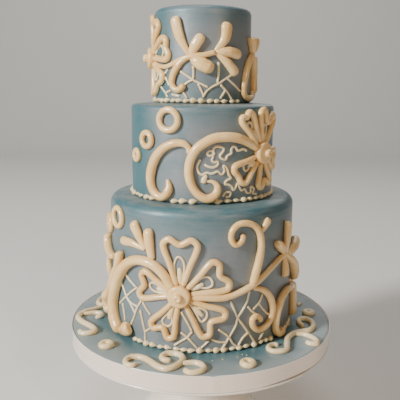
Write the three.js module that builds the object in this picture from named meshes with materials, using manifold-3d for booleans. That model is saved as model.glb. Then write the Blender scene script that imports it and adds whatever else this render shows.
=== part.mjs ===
// A three-tier wedding cake on its iced board and pedestal stand, in millimetres, +Z up.
// The origin is on the floor under the middle of the stand, and the front of the cake faces -Y.
//
// The icing work is laid out flat and then bent onto the cake. On a tier's side a place is
// [u, v]: u is the distance round the side from the front, to the right, and v the height above
// the tier's base. On the board a place is [x, y]. h is the height off the surface.

import * as THREE from "three";
import { mergeVertices } from "three/addons/utils/BufferGeometryUtils.js";
import Module from "manifold-3d";

const wasm = await Module();
wasm.setup();

// Stand
const STAND_HEIGHT = 108.5;
const PLATE_RADIUS = 152.6;
const PLATE_RIM = 3.3;
const PLATE_MIDDLE = 6;
const FOOT_RADIUS = 72;
const STEM_RADIUS = 25;

// Board
const BOARD_RADIUS = 152;
const BOARD_CORE = 13;
const BOARD_ICING = 5;
const RIBBON_THICKNESS = 0.7;
const RIBBON_LIP = 1;

// Tiers: four, six and eight inch cakes under their icing
const SEAT = 0.3;
const BOARD_TOP = STAND_HEIGHT + BOARD_CORE + BOARD_ICING + 2 * SEAT;
const TIERS = {
  bottom: { radius: 104.8, height: 151, shoulder: 9, sides: 50 },
  middle: { radius: 79.7, height: 100.5, shoulder: 4, sides: 40, edgeDrop: 1.8 },
  top: { radius: 52.8, height: 99, shoulder: 6, sides: 28 },
};
TIERS.bottom.base = BOARD_TOP + SEAT;
TIERS.middle.base = TIERS.bottom.base + TIERS.bottom.height + SEAT;
TIERS.top.base = TIERS.middle.base + TIERS.middle.height + SEAT;

// Rolled icing lies this far off the surface, and stays this clear of its neighbours
const LIFT = 0.6;
const CLEARANCE = 0.5;

// Piped icing
const LINE_HALF_WIDTH = 1.6;
const LINE_HEIGHT = 1.9;
const LINE_SUNK = 0.7;
const BORDER_HALF_WIDTH = 3;
const BORDER_HEIGHT = 3.2;

// Flowers
const DISC_RADIUS = 11.6;
const PETAL_ROPE = 3.3;

const colours = {
  blue: { color: 0x5f8088, roughness: 0.55 },
  ivory: { color: 0xe6c79c, roughness: 0.5 },
  ribbon: { color: 0xe9d9cc, roughness: 0.3 },
  stand: { color: 0xd8c3b0, roughness: 0.35 },
  core: { color: 0xb9b4ac, roughness: 0.6 },
};

const cake = new THREE.Group();

function addNode(name, geometry, colour, height = 0) {
  const mesh = new THREE.Mesh(
    geometry,
    new THREE.MeshStandardMaterial({ ...colours[colour], metalness: 0 }),
  );
  mesh.name = name;
  mesh.position.z = height;
  cake.add(mesh);
}

// Solids for joining, and back

function toSolid(geometry) {
  const bare = geometry.index ? geometry.toNonIndexed() : geometry.clone();
  bare.deleteAttribute("normal");
  bare.deleteAttribute("uv");
  const merged = mergeVertices(bare, 1e-3);
  return new wasm.Manifold(
    new wasm.Mesh({
      numProp: 3,
      vertProperties: merged.attributes.position.array,
      triVerts: new Uint32Array(merged.index.array),
    }),
  );
}

function toGeometry(solid) {
  const mesh = solid.getMesh();
  const geometry = new THREE.BufferGeometry();
  geometry.setAttribute("position", new THREE.BufferAttribute(mesh.vertProperties, 3));
  geometry.setIndex(new THREE.BufferAttribute(mesh.triVerts, 1));
  return geometry;
}

function join(geometries) {
  const whole = geometries.map(toSolid).reduce((sum, piece) => sum.add(piece));
  const bodies = whole.decompose().filter((body) => body.volume() > 0.01);
  return wasm.Manifold.compose(bodies);
}

// A turned piece from its outline, [radius, height] pairs from the axis round to the axis
function turned(outline, sides) {
  const points = outline.map(([r, z]) => new THREE.Vector2(r, z));
  return new THREE.LatheGeometry(points, sides).rotateX(Math.PI / 2);
}

// Surfaces that flat work is bent onto

const onTier = ({ radius, base }) => ({
  radius,
  place: (u, v, h) => {
    const angle = u / radius;
    const reach = radius + h;
    return [reach * Math.sin(angle), -reach * Math.cos(angle), base + v];
  },
});

const onBoard = {
  radius: 1e6,
  place: (x, y, h) => [x, y, BOARD_TOP + h],
};

function bend(geometry, surface, flatten) {
  const position = geometry.attributes.position;
  for (let i = 0; i < position.count; i++) {
    const flat = flatten(position.getX(i), position.getY(i), position.getZ(i));
    position.setXYZ(i, ...surface.place(...flat));
  }
  return geometry;
}

// The D-shaped section of a rolled rope: a circle of radius 1 that has settled on its flat
const SETTLED = 0.62;

function ropeSection(corners) {
  const start = -Math.asin(SETTLED);
  const sweep = Math.PI - 2 * start;
  const points = Array.from({ length: corners }, (_, i) => {
    const angle = start + (sweep * i) / (corners - 1);
    return new THREE.Vector2(Math.cos(angle) * (corners < 5 ? 1.2 : 1.08), SETTLED + Math.sin(angle));
  });
  return new THREE.Shape(points);
}

function valueAt(list, share) {
  const place = Math.min(Math.max(share, 0), 1) * (list.length - 1);
  const low = Math.min(Math.floor(place), list.length - 2);
  return list[low] + (list[low + 1] - list[low]) * (place - low);
}

function smoothRoute(route) {
  return new THREE.CatmullRomCurve3(
    route.map(([u, v]) => new THREE.Vector3(u, v, 0)),
    false,
    "centripetal",
  );
}

// Places along a route, closer together where it turns or runs round the tier
function stations(curve, surface, from, to, turnPerStep) {
  const fine = 200;
  const sag = 0.42;
  const chord = Math.sqrt(8 * surface.radius * sag);
  const longest = 45;
  const shares = [from];
  const needs = [0];
  let before = curve.getPointAt(from);
  let heading = curve.getTangentAt(from);
  for (let i = 1; i <= fine; i++) {
    const share = Math.min(1, from + ((to - from) * i) / fine);
    const point = curve.getPointAt(share);
    const next = curve.getTangentAt(share);
    const turn = Math.acos(Math.min(1, heading.dot(next)));
    const need =
      Math.abs(point.x - before.x) / chord +
      Math.abs(point.y - before.y) / longest +
      turn / turnPerStep;
    shares.push(share);
    needs.push(needs[i - 1] + need);
    before = point;
    heading = next;
  }
  const count = Math.max(1, Math.ceil(needs[fine]));
  const chosen = [];
  for (let k = 0, i = 0; k <= count; k++) {
    while (i < fine && needs[i] < (needs[fine] * k) / count) i++;
    chosen.push(shares[i]);
  }
  return chosen;
}

function radiusOfBend(curve, share, length) {
  const step = 0.01;
  const low = Math.max(0, share - step);
  const high = Math.min(1, share + step);
  const a = curve.getTangentAt(low);
  const b = curve.getTangentAt(high);
  const turn = Math.atan2(a.x * b.y - a.y * b.x, a.x * b.x + a.y * b.y);
  return ((high - low) * length) / (turn || 1e-9);
}

// A rope of rolled icing along a flat route. half holds its half width from start to end.
function ropeGeometry(piece, surface) {
  const { route, half, corners = 4, turnPerStep = 0.95, flat = 1 } = piece;
  const [from, to] = piece.span ?? [0, 1];
  const curve = smoothRoute(route);
  const length = curve.getLength();
  const inner = stations(curve, surface, from, to, turnPerStep);
  const startRound = (0.55 * valueAt(half, from)) / length;
  const endRound = (0.55 * valueAt(half, to)) / length;
  const middle = inner.slice(1, -1).filter((s) => s > from + startRound * 1.6 && s < to - endRound * 1.6);
  const shares = [from, from + startRound, ...middle, to - endRound, to];
  const geometry = new THREE.ExtrudeGeometry(ropeSection(corners), {
    steps: shares.length - 1,
    depth: 1,
    bevelEnabled: false,
  });
  const last = shares.length - 1;
  const rings = shares.map((share, i) => {
    const blunt = i === 0 || i === last ? 0.52 : 1;
    const bendRadius = radiusOfBend(curve, share, length);
    return {
      point: curve.getPointAt(share),
      heading: curve.getTangentAt(share),
      half: valueAt(half, share) * blunt,
      // the inside of a tight bend is squeezed, as the left side is where the bend is to the left
      inside: 0.85 * bendRadius,
    };
  });
  return bend(geometry, surface, (across, out, along) => {
    const ring = rings[Math.round(along * last)];
    let side = across * ring.half;
    if (ring.inside > 0) side = Math.min(side, ring.inside);
    if (ring.inside < 0) side = Math.max(side, ring.inside);
    return [
      ring.point.x - ring.heading.y * side,
      ring.point.y + ring.heading.x * side,
      LIFT + out * ring.half * flat,
    ];
  });
}

// A ring of rolled icing
function ringGeometry({ centre, radius, rope }, surface) {
  const geometry = new THREE.TorusGeometry(radius, rope, 5, 9);
  return bend(geometry, surface, (x, y, z) => [
    centre[0] + x,
    centre[1] + y,
    LIFT + rope * SETTLED + Math.max(z, -rope * SETTLED),
  ]);
}

// The disc in the middle of a flower, with its button
function discGeometry({ centre, sides = 10 }, surface) {
  const outline = [
    [0, 0],
    [DISC_RADIUS, 0],
    [DISC_RADIUS, 5],
    [DISC_RADIUS - 2, 7.6],
    [5, 8],
    [4.2, 12],
    [0, 12.6],
  ];
  const points = outline.map(([r, h]) => new THREE.Vector2(r, h));
  const geometry = new THREE.LatheGeometry(points, sides);
  return bend(geometry, surface, (x, y, z) => [centre[0] + x, centre[1] - z, LIFT + y]);
}

function pieceGeometry(piece, surface) {
  if (piece.kind === "ring") return ringGeometry(piece, surface);
  if (piece.kind === "disc") return discGeometry(piece, surface);
  return ropeGeometry(piece, surface);
}

// What a piece covers, as circles [u, v, radius]
function footprint(piece) {
  if (piece.kind === "disc") return [[...piece.centre, DISC_RADIUS]];
  if (piece.kind === "ring") return [[...piece.centre, piece.radius + piece.rope]];
  const curve = smoothRoute(piece.route);
  const [from, to] = piece.span ?? [0, 1];
  const count = Math.ceil((curve.getLength() * (to - from)) / 1.5);
  return Array.from({ length: count + 1 }, (_, i) => {
    const share = Math.min(1, from + ((to - from) * i) / count);
    const point = curve.getPointAt(share);
    return [point.x, point.y, valueAt(piece.half, share)];
  });
}

function isClear(u, v, half, covered, around) {
  return covered.every(([a, b, r]) => {
    let across = Math.abs(u - a) % around;
    across = Math.min(across, around - across);
    return Math.hypot(across, v - b) > half + r + CLEARANCE;
  });
}

// The stretches of a route, as shares of its length, that are clear of what is already laid
function clearRuns(piece, covered, around) {
  const curve = smoothRoute(piece.route);
  const length = curve.getLength();
  const count = Math.ceil(length);
  const runs = [];
  let start = null;
  for (let i = 0; i <= count; i++) {
    const share = i / count;
    const point = curve.getPointAt(share);
    const clear = isClear(point.x, point.y, valueAt(piece.half, share), covered, around);
    if (clear && start === null) start = share;
    if (start !== null && (!clear || i === count)) {
      runs.push([start, clear ? 1 : share - 1 / count]);
      start = null;
    }
  }
  return runs.filter(([from, to]) => (to - from) * length > 4);
}

function longestRun(piece, covered, around) {
  if (piece.kind) return piece;
  const runs = clearRuns(piece, covered, around);
  runs.sort((a, b) => b[1] - b[0] - (a[1] - a[0]));
  if (runs.length === 0) throw new Error(`${piece.name} has no room`);
  return { ...piece, span: runs[0] };
}

// Lays pieces out in order. Pieces of one name are joined and may cross each other.
function layOut(pieces, surface, covered, around) {
  const byName = new Map();
  for (const piece of pieces) {
    if (!byName.has(piece.name)) byName.set(piece.name, []);
    byName.get(piece.name).push(piece);
  }
  for (const [name, members] of byName) {
    const laid = members.map((piece) => longestRun(piece, covered, around));
    const geometries = laid.map((piece) => pieceGeometry(piece, surface));
    addNode(name, geometries.length > 1 ? toGeometry(join(geometries)) : geometries[0], "ivory");
    laid.forEach((piece) => covered.push(...footprint(piece)));
  }
}

// Shapes that the icing work repeats

const rope = (name, route, half, more = {}) => ({ name, route, half, ...more });
const ring = (name, centre, radius, rope) => ({ name, kind: "ring", centre, radius, rope });

// A leaf is a rope that swells from a thin stalk to a blunt end
function leaf(name, stalk, end, width, sway = 0, more = {}) {
  const across = [stalk[1] - end[1], end[0] - stalk[0]];
  const middle = [
    (stalk[0] + end[0]) / 2 + across[0] * sway,
    (stalk[1] + end[1]) / 2 + across[1] * sway,
  ];
  return rope(name, [stalk, middle, end], [0.3, 0.58, 0.85, 1, 1].map((s) => s * width), more);
}

// A heart-shaped petal bent from one rope. Its length is to the outside of its lobes.
function petal(name, centre, { angle, length, width, notch = 0.06, start = 12, turnPerStep = 1.2 }) {
  const side = [
    [start / length, 3.1 / width],
    [0.57, 0.31],
    [0.8, 0.47],
    [0.92, 0.5],
    [1, 0.33],
    [1 - notch, 0],
  ];
  const outline = [...side, ...side.slice(0, -1).reverse().map(([a, b]) => [a, -b])];
  const turn = THREE.MathUtils.degToRad(angle);
  const route = outline.map(([a, b]) => {
    const along = a * length;
    const across = b * width;
    return [
      centre[0] + along * Math.cos(turn) - across * Math.sin(turn),
      centre[1] + along * Math.sin(turn) + across * Math.cos(turn),
    ];
  });
  return rope(name, route, [0.75, 1, 1.08, 1, 1.08, 1, 0.75].map((s) => s * PETAL_ROPE), {
    turnPerStep,
  });
}

// The piped loop inside a petal
function innerLoop(centre, angle, reach, width) {
  const turn = THREE.MathUtils.degToRad(angle);
  const side = [
    [15.5, 0.1],
    [0.72 * reach, 0.42],
    [0.9 * reach, 0.45],
    [reach, 0],
  ];
  const outline = [...side, ...side.slice(0, -1).reverse().map(([a, b]) => [a, -b])];
  return outline.map(([along, b]) => [
    centre[0] + along * Math.cos(turn) - b * width * Math.sin(turn),
    centre[1] + along * Math.sin(turn) + b * width * Math.cos(turn),
  ]);
}

// A flower of one piece: its petals run in under the disc
function flower(name, centre, petals) {
  return [
    { name, kind: "disc", centre, sides: 8 },
    ...petals.map((shape) => ({
      ...petal(name, centre, { ...shape, start: 8, turnPerStep: 1.5 }),
      corners: name.endsWith("back") ? 3 : 4,
    })),
  ];
}

// Icing work on the bottom tier, front half

const BOTTOM_FLOWER = [-21.5, 61.5];
const BOTTOM_PETALS = [
  { angle: 89.5, length: 58.5, width: 34.5, notch: 0.085 },
  { angle: 28.5, length: 50.5, width: 32.5, notch: 0.095 },
  { angle: -40.5, length: 49.5, width: 34.5, notch: 0.15 },
  { angle: -116, length: 47.5, width: 27.5, notch: 0.14 },
  { angle: 171, length: 45, width: 29.5, notch: 0.11 },
];
const GREAT_SCROLL = [
  [-31, 73], [-39, 84], [-47.5, 90.5], [-58, 93.5], [-71.5, 92.5], [-84, 86], [-95.5, 75],
  [-105, 61], [-112.5, 46.5], [-116.5, 34], [-115.5, 22], [-110.5, 12], [-104, 8], [-99, 8],
];
const GREAT_HALVES = [4.8, 5, 5.4, 6, 6.4, 6.6, 6.9, 7.4, 7.2, 6.4];
// The folded end of the great scroll
const GREAT_FLAP = [[-101, 8.5], [-95, 9.5], [-88, 12], [-81, 15.5]];
const VINE = [[-11, 60.5], [8, 60.5], [22, 60], [39, 64], [59, 71.5], [79, 83], [96, 90.3]];
const KNOT = [106, 93];
const QUESTION_SCROLL = [
  [54, 70], [58, 84], [62, 98], [63.5, 110.5], [61.5, 123.5], [55, 132], [44.5, 136],
  [35.5, 134.5], [30, 127.5], [30, 119.5], [34.5, 114.5], [40.5, 117.5], [42.5, 125.5],
];
const LOWER_SCROLL = [
  [56, 65.5], [65.5, 63], [75, 56], [81.5, 45.5], [83.5, 35], [80, 25.5], [72, 19.5],
  [62, 19], [56, 25], [55.5, 32], [60, 34.5], [65, 31],
];
const ARCH_SCROLL = [
  [143, 44.5], [122, 48.5], [112, 50.5], [102, 48], [94.5, 41], [90.5, 31.5], [88, 21], [89, 11],
  [96, 5], [103, 6],
];
const ARCH_STRAND = [[141, 45], [147, 41], [149, 34], [148.5, 24], [147.5, 6]];
const SIDE_SCROLL = [[-106, 77], [-113, 66], [-121, 54], [-131, 41], [-143, 27], [-144, 17], [-134, 14]];
const HOOK_SCROLL = [
  [-128, 84], [-140, 77], [-143, 69], [-134, 62], [-120, 62.5], [-109.5, 72], [-102, 82],
  [-98, 90], [-97.5, 97],
];
const LEFT_DROP = [[-112, 85.5], [-126, 87.5], [-137, 92.5], [-141.5, 99], [-142, 106]];

// How much higher the work at the sides stands than it is wide
const PROUD = { flat: 1.35 };

function bottomWork(side) {
  const name = (piece) => `bottom_${piece}_${side}`;
  const whole = side === "front";
  const centre = BOTTOM_FLOWER;
  const flowerPieces = whole
    ? [
        { name: name("flower_disc"), kind: "disc", centre },
        ...BOTTOM_PETALS.map((shape, i) => petal(name(`petal_${i + 1}`), centre, shape)),
      ]
    : flower(name("flower"), centre, BOTTOM_PETALS);
  const sprig = name(whole ? "right_sprig" : "vine");
  const twin = name(whole ? "twin_leaf" : "great_scroll");
  const stalk = whole ? [-60, 105] : [-59, 97];
  const extras = whole
    ? [
        leaf(name("leaf_3"), [-51.5, 95.5], [-55.5, 129], 5.4, 0.02),
        leaf(name("drop"), [63.5, 122], [74.5, 138], 4),
        ring(name("ring_1"), [-105, 132], 9.9, 3),
        ring(name("ring_2"), [-133.5, 120], 8.6, 3.1),
        rope(name("left_drop"), LEFT_DROP, [3.4, 4, 4.3, 4.3, 4.2], PROUD),
        rope(name("hook"), HOOK_SCROLL, [2.6, 2.9, 3.1, 3.1, 3.1, 3.4, 4.2, 4.6]),
      ]
    : [];
  return [
    ...flowerPieces,
    rope(name("great_scroll"), GREAT_SCROLL, GREAT_HALVES, { corners: 5 }),
    rope(name("great_scroll"), GREAT_FLAP, [5.2, 6, 7.2, 7.6], { corners: 5 }),
    rope(name("vine"), whole ? VINE : [...VINE, KNOT], [3, 3.6, 3.7, 3.6, 3.4, 3.3, 3.2]),
    leaf(sprig, KNOT, [107.5, 129.5], 4.4, 0, PROUD),
    leaf(sprig, KNOT, [85.5, 110], 5, 0, PROUD),
    leaf(sprig, KNOT, [153, 99], 5.2, 0, PROUD),
    leaf(sprig, KNOT, [104.5, 66.5], 4.3, 0, PROUD),
    leaf(sprig, KNOT, [149, 57.5], 5.4, 0, PROUD),
    rope(name("question_scroll"), QUESTION_SCROLL, [4, 4.4, 4.2, 3.8, 3.6, 3.3, 3.2, 3.1, 3]),
    rope(name("lower_scroll"), LOWER_SCROLL, [2.6, 3.6, 4, 3.8, 3.6, 3.4, 3.3, 3.1]),
    rope(name("arch_scroll"), ARCH_SCROLL, [3, 3.4, 3.7, 3.9, 3.8, 3.7, 3.4], PROUD),
    rope(name("arch_scroll"), ARCH_STRAND, [3.2, 3.8, 4, 4.1, 4.1], PROUD),
    leaf(twin, stalk, [-96.5, 109], 4.8, -0.06),
    leaf(twin, stalk, [-75.5, 134], 5.6),
    rope(name("side_scroll"), SIDE_SCROLL, [3.6, 4, 4.1, 4.4, 6.2, 6, 4.6], PROUD),
    ...extras,
  ];
}

const BOTTOM_LOOPS = [
  innerLoop(BOTTOM_FLOWER, 89.5, 41, 9),
  innerLoop(BOTTOM_FLOWER, 30, 37, 9),
  innerLoop(BOTTOM_FLOWER, -41, 35, 9),
  innerLoop(BOTTOM_FLOWER, -118, 35, 10),
  innerLoop(BOTTOM_FLOWER, 170, 34, 9),
];
const BOTTOM_LATTICE = [
  [[-95, 73.5], [-75, 62]],
  [[-102, 60.5], [-91, 47], [-76, 31.5]],
  [[-91, 47], [-84.5, 42.5], [-73, 40.5]],
  [[-106, 34.5], [-91, 47], [-72.5, 61.5]],
  [[-66.5, 48.5], [-73, 39], [-83.5, 17]],
  [[-68, 37], [-62.5, 16], [-62, 4.5]],
  [[-20, 44], [-9.5, 24.5]],
  [[-20, 21.5], [-4, 6]],
  [[-9, 23], [-27, 7]],
  [[18, 25.5], [29, 16.5], [40.5, 3]],
  [[51.5, 62.5], [38.5, 36], [31.5, 18.5], [22.5, 4]],
  [[30.5, 54.5], [38.5, 36], [60, 5]],
  [[68.5, 56], [57, 42.5]],
  [[64, 47], [71, 38.5], [82.5, 31.5]],
];

// Icing work on the middle tier, front half

const MIDDLE_FLOWER = [70.3, 49.8];
const MIDDLE_PETALS = [
  { angle: 122, length: 47.3, width: 14.5, notch: 0.05 },
  { angle: 74, length: 43.5, width: 30, notch: 0.25 },
  { angle: 214, length: 40, width: 21.5, notch: 0.02 },
  { angle: 280, length: 36, width: 22.5, notch: 0.16 },
  { angle: 342, length: 31, width: 21, notch: 0.1 },
];
const LEFT_SCROLL = [
  [-14, 51], [-13.5, 57.5], [-18, 61.5], [-26, 62], [-34, 59.5], [-42.5, 54], [-49.5, 45.5],
  [-54.5, 34.5], [-56.5, 23], [-54, 13], [-48, 7], [-41.5, 6.2], [-36, 10], [-34, 16.5], [-36.5, 25],
];
const CENTRE_SCROLL = [
  [59, 56], [45.5, 63.5], [34, 67.5], [24, 68.5], [12, 67.5], [2.5, 63], [-6, 56], [-11, 46.5],
  [-13, 37.5], [-12.5, 27.5], [-9.5, 18.5], [-3.5, 10.5], [4.5, 6.4], [11.5, 8], [15.5, 14.5],
  [14.5, 20.5], [10, 23.5],
];

function middleWork(side) {
  const name = (piece) => `middle_${piece}_${side}`;
  const extras =
    side === "front"
      ? [ring(name("ring_2"), [-63, 63.5], 7.2, 3.1), ring(name("ring_3"), [-83, 45.5], 5.2, 2.9)]
      : [];
  return [
    ...flower(name("flower"), MIDDLE_FLOWER, MIDDLE_PETALS),
    rope(name("centre_scroll"), CENTRE_SCROLL, [4.2, 4.9, 5.1, 5, 4.8, 4.7, 4.6, 4.4, 4.3, 4.8, 3.6, 2]),
    rope(name("left_scroll"), LEFT_SCROLL, [2.4, 3.6, 4.2, 4.5, 4.9, 5, 4.8, 4.5, 4.4, 4.4, 2.2]),
    ring(name("ring_1"), [-34.8, 84.7], 10.3, 3.3),
    ...extras,
  ];
}

const MIDDLE_LOOPS = [
  innerLoop(MIDDLE_FLOWER, 122, 36, 6),
  innerLoop(MIDDLE_FLOWER, 76, 30, 7),
  innerLoop(MIDDLE_FLOWER, 212, 29, 8),
];
const MIDDLE_SQUIGGLES = [
  [
    [48, 53.5], [40, 54.5], [35, 57.5], [30, 55.5], [26, 49.5], [20, 46.5], [21, 53.5],
    [18, 58.5], [11, 55.5], [8, 49.5], [11, 44], [16, 41.5], [7, 38.5], [3, 40.5],
  ],
  [
    [-4, 45], [-5, 38], [0, 30.5], [10, 31.5], [20, 30.5], [23, 37.5], [28, 29.5], [24, 20.5],
    [32, 16.5], [38, 20.5], [43, 12.5], [55, 10], [55, 15.5], [60, 12.5],
  ],
];

// Icing work on the top tier, front half

const TOP_FLOWER = [-80.5, 47];
const TOP_PETALS = [
  { angle: 72, length: 41.5, width: 31, notch: 0.1 },
  { angle: 13, length: 42, width: 22, notch: 0.05 },
  { angle: -50, length: 39, width: 27, notch: 0.04 },
  { angle: 245, length: 38, width: 26 },
  { angle: 150, length: 40, width: 26 },
];
const TOP_BACK_FLOWER = [-26, 47];
const TOP_BACK_PETALS = [90, 18, -54, -126, 162].map((angle) => ({ angle, length: 34, width: 23 }));
const TOP_VINE = [
  [-61, 40], [-54, 38.5], [-43, 37], [-34.5, 39], [-25, 43], [-15.5, 46], [-7.5, 47.5], [2, 48.5], [13, 51.5],
];
const TOP_CURL = [
  [-12, 47], [-16.5, 45], [-22.5, 41.5], [-27.5, 35.5], [-32, 27.5], [-33, 19.5], [-29, 14],
  [-23.5, 14], [-18.5, 19.5],
];
const TOP_ARCH = [
  [84, 50.5], [71, 51.5], [64, 48], [57.5, 42], [52.5, 32.5], [49.5, 22], [48.5, 12], [53, 6],
  [62, 5], [73, 6.5], [80, 11],
];
const TOP_STRAND = [[81, 51], [84, 40], [85, 26], [83, 9]];

function topWork(side) {
  const name = (piece) => `top_${piece}_${side}`;
  const spray = name("spray");
  if (side === "back") {
    // there is only room for one small flower and half a spray behind
    const stalk = [17.5, 50];
    return [
      ...flower(name("flower"), TOP_BACK_FLOWER, TOP_BACK_PETALS),
      leaf(spray, stalk, [22.5, 79], 5),
      leaf(spray, stalk, [40, 45], 5),
      leaf(spray, stalk, [32, 24], 5),
    ];
  }
  return [
    ...flower(name("flower"), TOP_FLOWER, TOP_PETALS),
    rope(spray, TOP_VINE, [2.2, 2.4, 2.5, 2.8, 3, 3, 2.8]),
    leaf(spray, [-13, 46.5], [-29.5, 87.5], 5.6, 0.055),
    leaf(spray, [-13, 46.5], [0, 69], 5.2, 0.04),
    leaf(spray, [-13, 46.5], [11, 33.5], 6.2, -0.02),
    leaf(spray, [12, 51.5], [24, 82], 5.6, -0.14),
    leaf(spray, [12, 51.5], [42.5, 48.5], 5.2, 0.06),
    leaf(spray, [12, 51.5], [37, 28.5], 5.2, 0.04),
    rope(name("curl"), TOP_CURL, [1.8, 2.8, 3.5, 3.6, 3.5, 3.3, 3.3, 3.7]),
    rope(name("arch"), TOP_ARCH, [3.2, 3.5, 3.7, 3.8, 3.7, 3.5, 3.4, 3.4, 3.6, 4]),
    rope(name("arch"), TOP_STRAND, [3.2, 3.4, 3.5, 3.5], { flat: 1.5 }),
    leaf(name("arch"), [67, 52.5], [58.5, 68.5], 3.8, 0, { flat: 1.5 }),
    leaf(name("arch"), [71, 52.5], [82, 70], 3.9, 0, { flat: 1.5 }),
  ];
}

const TOP_LOOPS = [
  innerLoop(TOP_FLOWER, 72, 31, 9),
  innerLoop(TOP_FLOWER, 12, 34, 12),
  innerLoop(TOP_FLOWER, -50, 29, 10),
];
const TOP_LATTICE = [
  [[-23.5, 32], [-10, 23.5], [5, 16.5]],
  [[-10, 37], [-10.5, 24], [-20.5, 17.5]],
  [[16, 41], [15.5, 21.5]],
  [[0.5, 6.5], [10.5, 17], [30.5, 28.5]],
  [[26, 25.5], [44, 12.5]],
  [[19, 18.5], [32, 4.5]],
  [[-47, 29], [-38.5, 18]],
  [[-51.5, 16], [-41, 6]],
];

// Icing work on the board

const FRONT_SCROLL = [
  [-63, -131], [-66.5, -135], [-72, -133], [-74.5, -127], [-72, -119.5], [-64, -117.5],
  [-55.5, -121.5], [-48, -129.5], [-41.5, -137.5], [-33.5, -142], [-26.5, -139], [-20, -130],
  [-17.5, -121.5], [-20.5, -113], [-27.5, -109.5], [-35, -110.5], [-39, -117.5], [-36, -123.5],
  [-29, -124.5],
];
const FRONT_LOOP = [
  [-19, -130.5], [-12.5, -129], [-4.5, -129], [2, -134], [3, -142.5], [-3, -147.5],
  [-10.5, -148], [-16, -142],
];
const LEFT_BOARD_SCROLL = [
  [-120.5, 16], [-129.5, 7.5], [-138, -0.5], [-144, -10], [-144, -20], [-137.5, -31.5],
  [-129, -40], [-122.5, -47], [-118, -56], [-120, -61], [-126.5, -63.5], [-132, -61.5],
  [-135.5, -55],
];
const LEFT_BRANCH = [
  [-141, -9], [-135.5, -6.5], [-127.5, -4.5], [-119.5, -7.5], [-118.5, -15.5], [-125, -18],
];
const RIGHT_BOARD_SCROLL = [
  [82.5, -88], [79, -86], [73, -89.5], [71, -96.5], [74.5, -102], [81, -103], [88.5, -99.5],
  [92, -84.5], [95, -71], [103, -59], [112, -54.5], [121.5, -51], [128, -40], [128.5, -26],
  [122, -18], [115, -22], [114, -32], [117.5, -40],
];
const RIGHT_BRANCH = [
  [103, -59], [114, -60.5], [121, -66.5], [125, -76.5], [123, -84], [116.5, -83], [113.5, -78],
];

const halfTurned = (points) => points.map(([x, y]) => [-x, -y]);

function boardWork() {
  const even = [3, 3.3, 3.3, 3.3, 2.9];
  return [
    rope("board_scroll_front", FRONT_SCROLL, even),
    rope("board_scroll_front", FRONT_LOOP, [2.6, 3.1, 3.1, 2.8]),
    rope("board_scroll_left", LEFT_BOARD_SCROLL, even),
    rope("board_scroll_left", LEFT_BRANCH, [2.4, 3, 2.8]),
    rope("board_scroll_right", RIGHT_BOARD_SCROLL, even),
    rope("board_scroll_right", RIGHT_BRANCH, [2.4, 3, 2.8]),
    ring("board_ring_left", [-99.5, -91], 5.2, 3.4),
    ring("board_ring_front", [47, -129], 5.2, 3.4),
    ring("board_ring_right", [130.5, 1], 4.7, 3.2),
    rope("board_scroll_back", halfTurned(FRONT_SCROLL), even),
    rope("board_scroll_back", halfTurned(FRONT_LOOP), [2.6, 3.1, 3.1, 2.8]),
    rope("board_scroll_back_left", halfTurned(RIGHT_BOARD_SCROLL), even),
    rope("board_scroll_back_left", halfTurned(RIGHT_BRANCH), [2.4, 3, 2.8]),
  ];
}

// Work for the back is the front's, moved half way round

function movedRound(piece, by) {
  const move = ([u, v]) => [u + by, v];
  if (piece.kind) return { ...piece, centre: move(piece.centre) };
  return { ...piece, route: piece.route.map(move) };
}

// Piped icing is joined to the tier it lies on, and stops short of the rolled work

function lineGeometry({ route, half, height }, span, surface) {
  const section = new THREE.Shape([
    new THREE.Vector2(-half[0], -LINE_SUNK),
    new THREE.Vector2(half[0], -LINE_SUNK),
    new THREE.Vector2(0, height),
  ]);
  const curve = smoothRoute(route);
  const shares = stations(curve, surface, ...span, 1.2);
  const last = shares.length - 1;
  const geometry = new THREE.ExtrudeGeometry(section, { steps: last, depth: 1, bevelEnabled: false });
  return bend(geometry, surface, (across, out, along) => {
    const share = shares[Math.round(along * last)];
    const point = curve.getPointAt(share);
    const heading = curve.getTangentAt(share);
    return [point.x - heading.y * across, point.y + heading.x * across, out];
  });
}

function tierGeometry(tier, pipedLines, covered) {
  const { radius, height, shoulder, sides, edgeDrop = 0.6 } = tier;
  const surface = onTier(tier);
  const around = 2 * Math.PI * radius;
  const body = turned(
    [
      [0, 0],
      [radius, 0],
      [radius, height - edgeDrop - shoulder * 0.8],
      [radius - shoulder * 0.8, height - edgeDrop],
      [radius * 0.68, height],
      [0, height],
    ],
    sides,
  ).translate(0, 0, tier.base);
  const pieces = [body];
  const lines = pipedLines.map((route) => ({
    route,
    half: [LINE_HALF_WIDTH, LINE_HALF_WIDTH],
    height: LINE_HEIGHT,
  }));
  // the border along the tier's foot, in quarters
  for (let quarter = 0; quarter < 4; quarter++) {
    const ends = [quarter, quarter + 0.5, quarter + 0.995].map((share) => (share * around) / 4);
    lines.push({
      route: ends.map((u) => [u, BORDER_HALF_WIDTH + 0.4]),
      half: [BORDER_HALF_WIDTH, BORDER_HALF_WIDTH],
      height: BORDER_HEIGHT,
    });
  }
  for (const line of lines) {
    for (const span of clearRuns(line, covered, around)) {
      pieces.push(lineGeometry(line, span, surface));
    }
  }
  return toGeometry(join(pieces));
}

function addTier(key, work, pipedLines, backShift = 0) {
  const tier = TIERS[key];
  const surface = onTier(tier);
  const around = 2 * Math.PI * tier.radius;
  const covered = [];
  const front = work("front");
  const back = work("back").map((piece) => movedRound(piece, around / 2 + backShift));
  layOut([...front, ...back], surface, covered, around);
  addNode(`tier_${key}`, tierGeometry(tier, pipedLines, covered), "blue");
}

// Stand: a flat plate on a stem and a domed foot

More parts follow.
